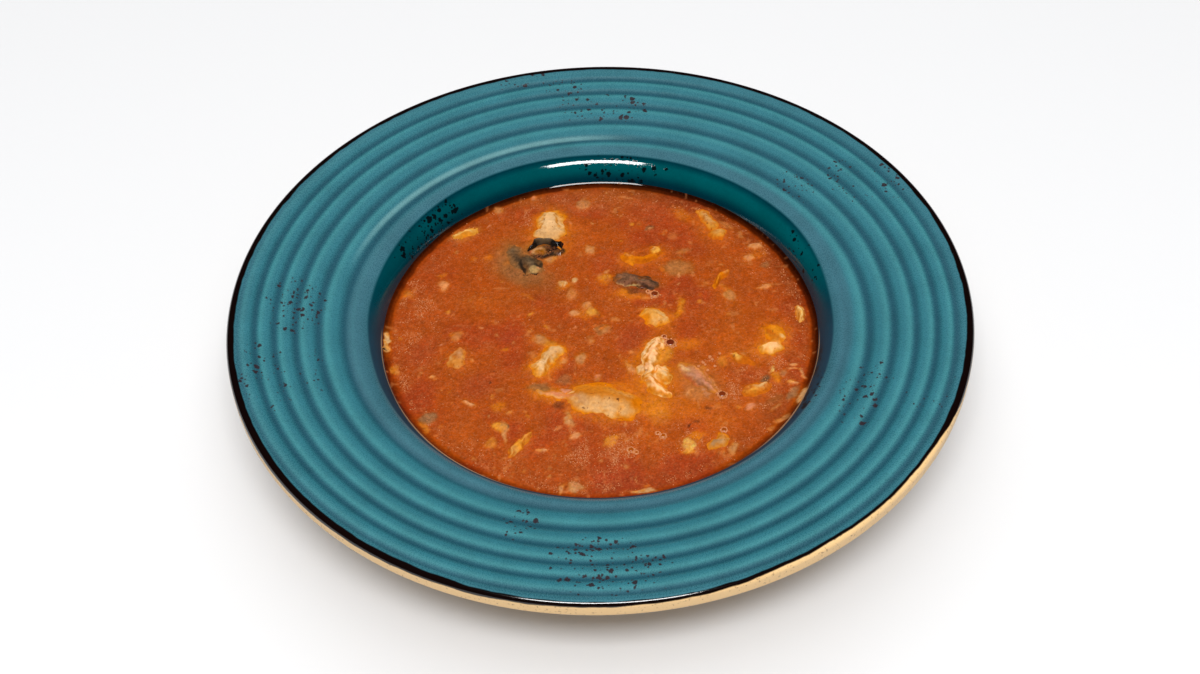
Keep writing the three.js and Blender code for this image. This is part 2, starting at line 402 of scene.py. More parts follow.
rib = {
    "Middle Radius": 110 * mm,
    "Turns At Middle": 2.377,
    "Turns Per Metre": 127.3,
    "Tightening": 770.0,
    "Groove Depth": 0.7 * mm,
    "Narrowness": 1.7,
    "Lip Radius": 88 * mm,
    "Crown Radius": 133 * mm,
    "Fade Width": 3 * mm,
    "Crest Place": 0.74,
}


def rimTop(radius):
    inward = plate["crownRadius"] - radius
    return plateHeight - plate["rimSlope"] * inward - plate["rimSag"] * inward**2


lipHeight = rimTop(plate["lipRadius"])
wallAngle = math.atan2(lipHeight - soup["level"], plate["lipRadius"] - soup["radius"])
cornerRadius = soup["radius"] - (soup["level"] - plate["floorHeight"]) / math.tan(wallAngle)
filletStart = cornerRadius - plate["floorFillet"] * math.tan(wallAngle / 2)
filletCentre = plate["floorHeight"] + plate["floorFillet"]


def arc(centre, radius, first, last, steps):
    angles = np.radians(np.linspace(first, last, steps + 1))
    return [(centre[0] + radius * math.cos(a), centre[1] + radius * math.sin(a)) for a in angles]


def wellArc(offset, steps):
    radius, last = plate["floorFillet"] + offset, math.degrees(wallAngle) - 90
    return arc((filletStart, filletCentre), radius, -90, last, steps)


def wallRadius(offset, height):
    return soup["radius"] + offset / math.sin(wallAngle) + (height - soup["level"]) / math.tan(wallAngle)


def line(start, end, step):
    count = max(1, math.ceil(math.dist(start, end) / step))
    (x, y), (right, up) = start, (end[0] - start[0], end[1] - start[1])
    return [(x + right * s, y + up * s) for s in np.linspace(0, 1, count + 1)]


def curveBetween(first, corner, last, steps):
    # leaves `first` and reaches `last` along straight lines to the corner
    first, corner, last = (np.array(point) for point in (first, corner, last))
    shares = np.linspace(0, 1, steps + 1)
    return [tuple((1 - s) ** 2 * first + 2 * s * (1 - s) * corner + s * s * last) for s in shares]


def roundCorner(before, corner, after, reach, steps):
    # a smooth bend that starts and ends `reach` from the corner
    sides = [np.array(end) - corner for end in (before, after)]
    first, last = (np.array(corner) + side / math.hypot(*side) * reach for side in sides)
    return curveBetween(first, corner, last, steps)


def joinRuns(*runs):
    joined = []
    for run in runs:
        for point in run:
            if not joined or math.dist(joined[-1], point) > 1e-3:
                joined.append(tuple(point))
    return joined


def wallCurve(steps):
    # the wall that shows bulges a little between the lip and the broth
    top = np.array((plate["lipStart"], rimTop(plate["lipStart"])))
    low = np.array((soup["radius"], soup["level"]))
    first, last = (math.radians(slope) for slope in plate["wallSlopes"])
    inward = np.array((-math.cos(first), -math.sin(first)))
    upward = np.array((math.cos(last), math.sin(last)))
    reach = np.linalg.solve(np.column_stack([inward, -upward]), low - top)[0]
    return curveBetween(low, top + inward * reach, top, steps)


def plateInside():
    floor = line((12, plate["floorHeight"]), (filletStart, plate["floorHeight"]), 12)
    well = wellArc(0, 18)
    hidden = line(well[-1], (soup["radius"], soup["level"]), 3)
    return joinRuns(floor, well, hidden, wallCurve(34))


def plateRim(start):
    crown = plate["crownRadius"] - 0.4
    radii = np.arange(start, crown, plate["rimStep"])[1:]
    return [(r, rimTop(r)) for r in radii]


def plateOutside():
    top, bottom = plate["edgeRounding"]
    topCentre = (plateRadius - top, plateHeight - top)
    bottomCentre = (plateRadius - bottom, plateHeight - plate["edgeDepth"] + bottom)
    edge = arc(topCentre, top, 90 + math.degrees(math.atan(plate["rimSlope"])), 0, 10)
    edge += arc(bottomCentre, bottom, 0, -82, 8)
    shoulder = lipHeight - plate["wallThickness"] - 2
    shoulderEnd = (wallRadius(plate["wallThickness"], shoulder), shoulder)
    bendStart = shoulderEnd[0] + 6
    bend = (bendStart, rimTop(bendStart) - plate["rimThickness"])
    middle = (plate["rimBend"], rimTop(plate["rimBend"]) - plate["rimThickness"])
    well = wellArc(plate["wallThickness"], 14)[::-1]
    outer, inner = plate["footRadii"]
    taper = plate["footTaper"]
    well = [point for point in well if point[0] > outer + 2 * taper]
    reach = plate["floorFillet"] + plate["wallThickness"]
    footTop = filletCentre - math.sqrt(reach**2 - (outer + taper - filletStart) ** 2)
    foot = [
        roundCorner(well[-1], (outer + taper, footTop), (outer, 0), 1.2, 4),
        roundCorner((outer + taper, footTop), (outer, 0), (inner, 0), 0.9, 5),
        roundCorner((outer, 0), (inner, 0), (inner - taper, plate["footRecess"]), 0.9, 5),
        roundCorner((inner, 0), (inner - taper, plate["footRecess"]), (0, plate["footRecess"]), 1.5, 4),
    ]
    return joinRuns(
        edge,
        line(edge[-1], middle, 3),
        line(middle, bend, 3)[:-1],
        roundCorner(middle, bend, shoulderEnd, 2.5, 5),
        roundCorner(bend, shoulderEnd, well[0], 2.2, 5),
        line(shoulderEnd, well[0], 2)[2:],
        well,
        *foot,
        line((inner - taper - 2, plate["footRecess"]), (14, plate["footRecess"]), 10),
    )


# Where the glaze broke into dark speckles: azimuth and radius ranges, and how dense.
# Azimuth is in degrees clockwise from above, starting on the right.
speckleFields = [
    (14, 34, 113, 133, 0.5), (16, 38, 92, 112, 0.85), (80, 101, 103, 134, 1.0), (102, 110, 92, 111, 0.9),
    (154, 175, 111, 134, 0.75), (158, 172, 100, 113, 0.75), (173, 190, 100, 124, 1.0),
    (251, 262, 126, 135, 0.8), (258, 270, 118, 129, 0.8), (260, 284, 104, 121, 0.85),
    (326, 341, 122, 134, 0.8), (320, 337, 107, 126, 0.7), (314, 328, 95, 108, 0.8),
    (202, 232, 80, 88.5, 1.0), (262, 290, 80, 88.5, 1.0), (326, 352, 80, 88, 0.7), (16, 40, 82, 87, 1.0),
]


def speckleDensity(azimuth, radius, points):
    density = np.zeros(len(radius))
    for first, last, low, high, most in speckleFields:
        around = (np.abs((azimuth - (first + last) / 2 + 180) % 360 - 180)) / ((last - first) / 2)
        across = np.abs(radius - (low + high) / 2) / ((high - low) / 2)
        inside = 1 - smoothStep(0.55, 1.1, np.sqrt(around**2 * 0.8 + across**2 * 0.8))
        density = np.maximum(density, most * inside)
    return np.clip(density + 0.25 * noise(points, 9, 4) * (density > 0.02), 0, 1)


def bandLimits(azimuth):
    # where the black band starts and ends over the edge; it isn't even all round
    front = np.sin(np.radians(azimuth))
    nearest = smoothStep(0.9, 0.98, front)
    start = -0.7 + 0.7 * smoothStep(0.3, 0.8, front) + 0.8 * nearest
    side = smoothStep(0.35, 0.6, front)
    left = -np.cos(np.radians(azimuth))
    width = 1.2 - 0.9 * left - 0.9 * smoothStep(0.1, 0.5, left)
    return start, 3 - side * width + 0.9 * nearest


def filmDensity(azimuth, height, radius):
    # dried broth on the wall: a thin line on the front left, a wider wet mark on the front right
    above = height - soup["level"]
    left, right = (within(azimuth, *limits) for limits in plate["driedOn"])
    # where the wall's bulge hides its foot from the front, the dried line is wider
    shown = smoothStep(0.34, 0.9, np.sin(np.radians(azimuth)))
    high = 1.7 + 4.6 * shown
    dried = np.maximum(left, right) * within(above, 0.9, 1.2, high - 0.3, high)
    wet = within(azimuth, *plate["wetOn"]) * (1 - smoothStep(3.2, 4.6, above)) * (radius > 70)
    return dried, wet


def makePlate():
    inside = plateInside()
    rim = plateRim(inside[-1][0])
    outside = plateOutside()
    section = np.array(joinRuns(inside, rim, outside))
    rows, columns = len(section), plate["columns"]
    first, last = len(inside), len(inside) + len(rim)
    azimuth = np.arange(columns) * 360 / columns
    turn = np.radians(azimuth)
    radius = np.repeat(section[:, 0], columns)
    height = np.repeat(section[:, 1], columns)
    across = np.tile(azimuth, rows)
    right, ahead = radius * np.tile(np.cos(turn), rows), -radius * np.tile(np.sin(turn), rows)
    points = np.column_stack([right, ahead, height])
    points = np.vstack([points, (0, 0, plate["floorHeight"]), (0, 0, plate["footRecess"])])
    count = rows * columns
    made = makeObject("soup_plate", points, latheFaces(rows, columns, count, count + 1))
    row = np.repeat(np.arange(rows), columns)
    gaps = np.hypot(*np.diff(section, axis=0).T)
    along = np.concatenate([[0], np.cumsum(gaps)])
    along = np.repeat(along - along[last], columns)
    dried, wet = filmDensity(across, height, radius)
    # painted reflection: the upper wall is painted a lighter teal glow where the lamps reflect in it,
    # strongest to the back right and faded on one side
    glow = within(height, soup["level"] + 1.5, lipHeight - 3.2, lipHeight - 2, lipHeight)
    shown = row < last + 4
    facing = np.sin(np.radians(across))
    dimSide = smoothStep(-0.3, 0.05, facing) * smoothStep(0.2, 0.7, np.cos(np.radians(across)))
    # painted highlight along the inner crest at the back left
    paintedCrestHighlight = 1 - smoothStep(0.2, 1.5, np.abs(radius - plate["highlightCrest"]))
    paintedCrestHighlight *= within(across, *plate["highlightCrestOn"])
    # painted light: the rim's teal is painted down over the lip where light falls on its curve, further at
    # the front than at the back
    reach = 1 - smoothStep(180, 235, across) + smoothStep(325, 360, across)
    reach = reach + 0.4 * within(across, *plate["litLipReachOn"])
    tealEnd, furthest = plate["tealEnds"]
    rimAndLitLip = smoothStep(-0.5, 0.5, radius - (tealEnd - furthest * reach))
    start, end = bandLimits(across)
    values = {
        "onRim": ((row >= first - 3) & (row < last + 2)) * 1.0,
        "inWell": (1 - rimAndLitLip) * (row < first),
        "paintedWallGlow": glow * (0.55 + 0.45 * np.cos(np.radians(across - 300))) * (1 - 0.75 * dimSide),
        # the front half of the wall is rougher, and is painted a bluer navy there as painted shade
        "dullAndShadedWall": smoothStep(-0.35, 0.3, facing) * (row < first),
        "paintedCrestHighlight": paintedCrestHighlight,
        "pastStart": np.clip(along - start, -12, 14),
        "pastEnd": np.clip(along - end, -12, 14),
        "greyBand": smoothStep(*plate["greyBand"], radius) * shown,
        "innerBand": (1 - smoothStep(*plate["innerBand"], radius)) * rimAndLitLip * shown,
        "speckle": speckleDensity(across, radius, points[:count]) * shown,
        "filmLine": dried * (row < first),
        "wetMark": wet * (row < first),
    }
    for name, value in values.items():
        setAttribute(made, name, np.append(value, [0, 0]))
    return made


def startTree(name, sizes):
    # a tree whose inputs are the geometry, the named sizes and the material
    tree = bpy.data.node_groups.new(name, "GeometryNodeTree")
    kinds = {key: "Int" if isinstance(value, int) else "Float" for key, value in sizes.items()}
    for key, kind in {"Geometry": "Geometry", **kinds, "Material": "Material"}.items():
        tree.interface.new_socket(key, in_out="INPUT", socket_type="NodeSocket" + kind)
    tree.interface.new_socket("Geometry", in_out="OUTPUT", socket_type="NodeSocketGeometry")
    return tree, tree.nodes.new("NodeGroupInput").outputs


def endTree(tree, geometry, material):
    real = addNode(tree, "GeometryNodeRealizeInstances", {"Geometry": geometry}).outputs[0]
    ended = addNode(tree, "GeometryNodeSetMaterial", {"Geometry": real, "Material": material})
    tree.links.new(ended.outputs[0], tree.nodes.new("NodeGroupOutput").inputs[0])
    return tree


def storedValue(tree, name):
    node = addNode(tree, "GeometryNodeInputNamedAttribute", {"Name": name}, data_type="FLOAT")
    return node.outputs[0]


def waveOf(turns):
    # 1 at whole turns and 0 halfway between them
    return calc("MULTIPLY_ADD", calc("COSINE", times(turns, 2 * math.pi)), 0.5, 0.5)


def spiralRibTree():
    # pushes the rim down along one long spiral and marks its grooves and crests
    tree, given = startTree("spiralRib", rib)
    position = tree.nodes.new("GeometryNodeInputPosition").outputs[0]
    x, y = addNode(tree, "ShaderNodeSeparateXYZ", {0: position}).outputs[:2]
    radius = calc("SQRT", plus(calc("POWER", x, 2.0), calc("POWER", y, 2.0)))
    turn = calc("DIVIDE", calc("ARCTAN2", times(y, -1.0), x), 2 * math.pi)
    outward = minus(radius, given["Middle Radius"])
    slope = calc("MULTIPLY_ADD", outward, given["Tightening"], given["Turns Per Metre"])
    turns = calc("MULTIPLY_ADD", outward, slope, given["Turns At Middle"])
    phase = calc("FRACT", minus(turns, turn))
    lip, crown, width = (given[name] for name in ("Lip Radius", "Crown Radius", "Fade Width"))
    fadeIn = between(radius, lip, plus(lip, width), kind="SMOOTHSTEP")
    fade = times(fadeIn, between(radius, minus(crown, width), crown, (1.0, 0.0), "SMOOTHSTEP"))
    groove = times(calc("POWER", waveOf(phase), given["Narrowness"]), fade)
    crest = times(waveOf(minus(phase, given["Crest Place"])), fade)
    drop = times(groove, given["Groove Depth"], -1.0)
    onRim = storedValue(tree, "onRim")
    geometry = given["Geometry"]
    for name, value in (("groove", groove), ("crest", crest)):
        inputs = {"Geometry": geometry, "Name": name, "Value": times(value, onRim)}
        stored = addNode(tree, "GeometryNodeStoreNamedAttribute", inputs, data_type="FLOAT", domain="POINT")
        geometry = stored.outputs[0]
    offset = addNode(tree, "ShaderNodeCombineXYZ", {"Z": times(drop, onRim)}).outputs[0]
    moved = addNode(tree, "GeometryNodeSetPosition", {"Geometry": geometry, "Offset": offset}).outputs[0]
    return endTree(tree, moved, given["Material"])


def runTree(piece, tree, values, name):
    modifier = piece.modifiers.new(tree.name, "NODES")
    modifier.node_group = tree
    sockets = {s.name: s.identifier for s in tree.interface.items_tree if s.in_out == "INPUT"}
    for key, value in values.items():
        modifier[sockets[key]] = value
    return bakeModifiers(piece, name)


glaze = {
    "ridge": (56, 132, 146),
    "crest": (70, 149, 158),
    # painted highlight on the inner crest
    "highlightTeal": (128, 186, 190),
    "groove": (38, 94, 111),
    "greyTeal": (70, 118, 134),
    # painted reflection: the lighter teal glow high on the well's wall
    "deep": (0, 54, 68),
    "glow": (0, 96, 102),
    # painted shade: the bluer teal of the wall where it turns from the lamp
    "navy": (0, 62, 92),
    "edge": (20, 9, 8),
    "bare": (284, 236, 166),
    "bareSpeck": (120, 74, 40),
    "speckle": (58, 42, 48),
    "blot": (8, 9, 13),
    "film": (226, 178, 130),
    "wet": (40, 26, 16),
    "speckles": ((2.6, 1.0), (1.3, 0.8), (4.4, 1.0)),  # size and number; the last lie only in the well
    "rimRoughness": (0.22, 0.34),
    "wallRoughness": (0.035, 0.8),  # where it shines, and at the front
    "relief": 0.02,
}


glazeMarks = (
    "crest", "groove", "greyBand", "innerBand", "paintedCrestHighlight", "inWell", "paintedWallGlow", "dullAndShadedWall",
    "speckle", "wetMark", "filmLine", "pastStart", "pastEnd",
)


def glazeMaterial():
    material, tree, shader = newMaterial("teal_glaze")
    place = addNode(tree, "ShaderNodeTexCoord").outputs["Object"]
    mark = {name: attributeOf(tree, name) for name in glazeMarks}
    cloud = noiseOf(place, 14, 3)
    grain = noiseOf(place, 0.5, 2, 0.3)
    mottle = noiseOf(place, 2.2, 3, 0.7)

    # teal: brighter on the ribs' outer flanks, darker where the glaze pooled in the grooves
    # the well's wall: painted reflection where a lighter teal glows high on it, and painted shade in navy
    # over its front half, turned from the lamp
    well = blendColour(mark["paintedWallGlow"], glaze["deep"], glaze["glow"])
    colour = layered(
        blendColour(between(mark["crest"], 0.35, 1.0), glaze["ridge"], glaze["crest"]),
        (between(mark["groove"], 0.2, 1.0), glaze["groove"]),
        (highest(times(mark["greyBand"], 0.35), times(mark["innerBand"], 0.7)), glaze["greyTeal"]),
        # painted highlight on the inner crest at the back left
        (times(mark["paintedCrestHighlight"], 0.75), glaze["highlightTeal"]),
        (mark["inWell"], blendColour(times(mark["dullAndShadedWall"], 0.7), well, glaze["navy"])),
    )
    colour = shaded(
        colour,
        between(cloud, 0.25, 0.75, (0.9, 1.08)),
        between(grain, 0.2, 0.8, (-0.13, 0.13)),
        between(mottle, 0.25, 0.75, (-0.05, 0.05)),
    )

    # dark speckles in drifts, with uneven outlines
    bent = addNode(tree, "ShaderNodeTexNoise", {"Vector": place, "Scale": 1 / (1.5 * mm), "Detail": 2.0})
    centred = {0: bent.outputs["Color"], 1: (0.5, 0.5, 0.5)}
    bent = addNode(tree, "ShaderNodeVectorMath", centred, operation="SUBTRACT").outputs[0]
    spots = []
    for size, number in glaze["speckles"]:
        scaled = {0: bent, "Scale": 0.75 * size * mm}
        shift = addNode(tree, "ShaderNodeVectorMath", scaled, operation="SCALE").outputs[0]
        moved = addNode(tree, "ShaderNodeVectorMath", {0: place, 1: shift}, operation="ADD").outputs[0]
        cells = addNode(tree, "ShaderNodeTexVoronoi", {"Vector": moved, "Scale": 1 / (size * mm)})
        luck = addNode(tree, "ShaderNodeSeparateColor", {0: cells.outputs["Color"]}).outputs
        chance = calc("MULTIPLY_ADD", minus(times(mark["speckle"], number), luck[0]), 0.75, 0.02)
        spread = calc("MINIMUM", times(between(luck[1], 0, 1, (0.45, 1.0)), chance), 0.4)
        inside = between(minus(spread, cells.outputs["Distance"]), 0.0, 0.05)
        spots.append(times(inside, calc("GREATER_THAN", mark["speckle"], 0.04)))
    spots[-1] = times(spots[-1], mark["inWell"])
    speckle = highest(*spots)

    # then broth on the wall, the black edge, and the bare body under it with fine specks of its own
    ragged = between(noiseOf(place, 3.0, 3, 1.3), 0.4, 0.55)
    waver = between(noiseOf(place, 8, 4, 2.1), 0, 1, (-0.5, 0.5))
    edge = between(plus(mark["pastStart"], waver), 0.0, 0.35)
    body = between(plus(mark["pastEnd"], waver), -0.15, 0.25)
    dots = between(noiseOf(place, 0.9, 3, 3.3), 0.6, 0.7)
    colour = layered(
        colour,
        (times(speckle, 0.94), blendColour(mark["inWell"], glaze["speckle"], glaze["blot"])),
        (times(mark["wetMark"], ragged), glaze["wet"]),
        (mark["filmLine"], glaze["film"]),
        (edge, glaze["edge"]),
        (body, blendColour(times(dots, 0.6), glaze["bare"], glaze["bareSpeck"])),
    )
    satin = between(grain, 0.2, 0.8, glaze["rimRoughness"])
    smooth = highest(between(mark["dullAndShadedWall"], 0, 1, glaze["wallRoughness"]), times(edge, 0.09))
    rough = fadeTo(highest(mark["inWell"], edge), satin, smooth)
    relief = calc("MULTIPLY_ADD", cloud, 4.0, calc("MULTIPLY_ADD", speckle, -0.8, grain))
    setInputs(shader, {
        "Base Color": colour,
        "Roughness": highest(rough, times(body, 0.5)),
        "Normal": bumpOf(relief, glaze["relief"], 0.6),
        "IOR": 1.56,
    })
    return material


# Soup

# Patches of colour: x, y, length, width, heading, colour, strength, softness of the outline.
# A bit has one more, how far it stands out of the broth.
washes = [
    (0, 72, 110, 18, 0, "beige", 0.16, 0.9), (12, -7, 14, 11, 80, "rose", 0.37, 0.8),
    (8, -48, 9, 7, 20, "rose", 0.31, 0.8), (-44, -26, 17, 11, 40, "rose", 0.4, 0.8),
    (-66, -9, 15, 10, 60, "rose", 0.34, 0.8), (-34, -3, 9, 7, 30, "rose", 0.35, 0.8),
    (-28, 62, 12, 14, 80, "red", 0.35, 0.8), (-22, 21, 22, 10, -10, "brown", 0.28, 0.9),
    (32, -9, 10, 6, 10, "amber", 0.7, 0.8), (19.4, -39.6, 13, 8, -80, "marigold", 0.8, 0.8),
    (29, -40, 26, 12, -10, "amber", 0.55, 0.9), (40, -50, 24, 12, 20, "orange", 0.4, 0.9),
    (34, 61, 9, 6, -60, "amber", 0.6, 0.8), (42, 55, 16, 10, -60, "orange", 0.5, 0.9),
    (-62, 12, 20, 60, 0, "rose", 0.14, 0.9), (0, -66, 60, 16, 0, "rose", 0.14, 0.9),
    (56, -27, 18, 10, -30, "rose", 0.35, 0.8), (62, -42, 16, 12, 40, "brown", 0.35, 0.8),
    (-32.6, 34.6, 20, 15, -60, "olive", 0.8, 0.8), (-29.6, 32.6, 18, 11, -54, "slate", 0.75, 0.8),
    (-21, 27, 16, 12, -20, "brown", 0.45, 0.8), (3, 26, 7, 5, 20, "amber", 0.6, 0.7),
    (-13, 23, 8, 4, 20, "amber", 0.6, 0.7), (-6, 8, 9, 5, -10, "amber", 0.55, 0.7),
    (65, -6, 15, 13, -60, "orange", 0.6, 0.7), (50, -12, 30, 20, 0, "orange", 0.2, 0.9),
    (0, -74, 100, 12, 0, "rose", 0.22, 0.9), (35.6, -27.4, 20, 11, -52, "mauve", 0.45, 0.8),
]
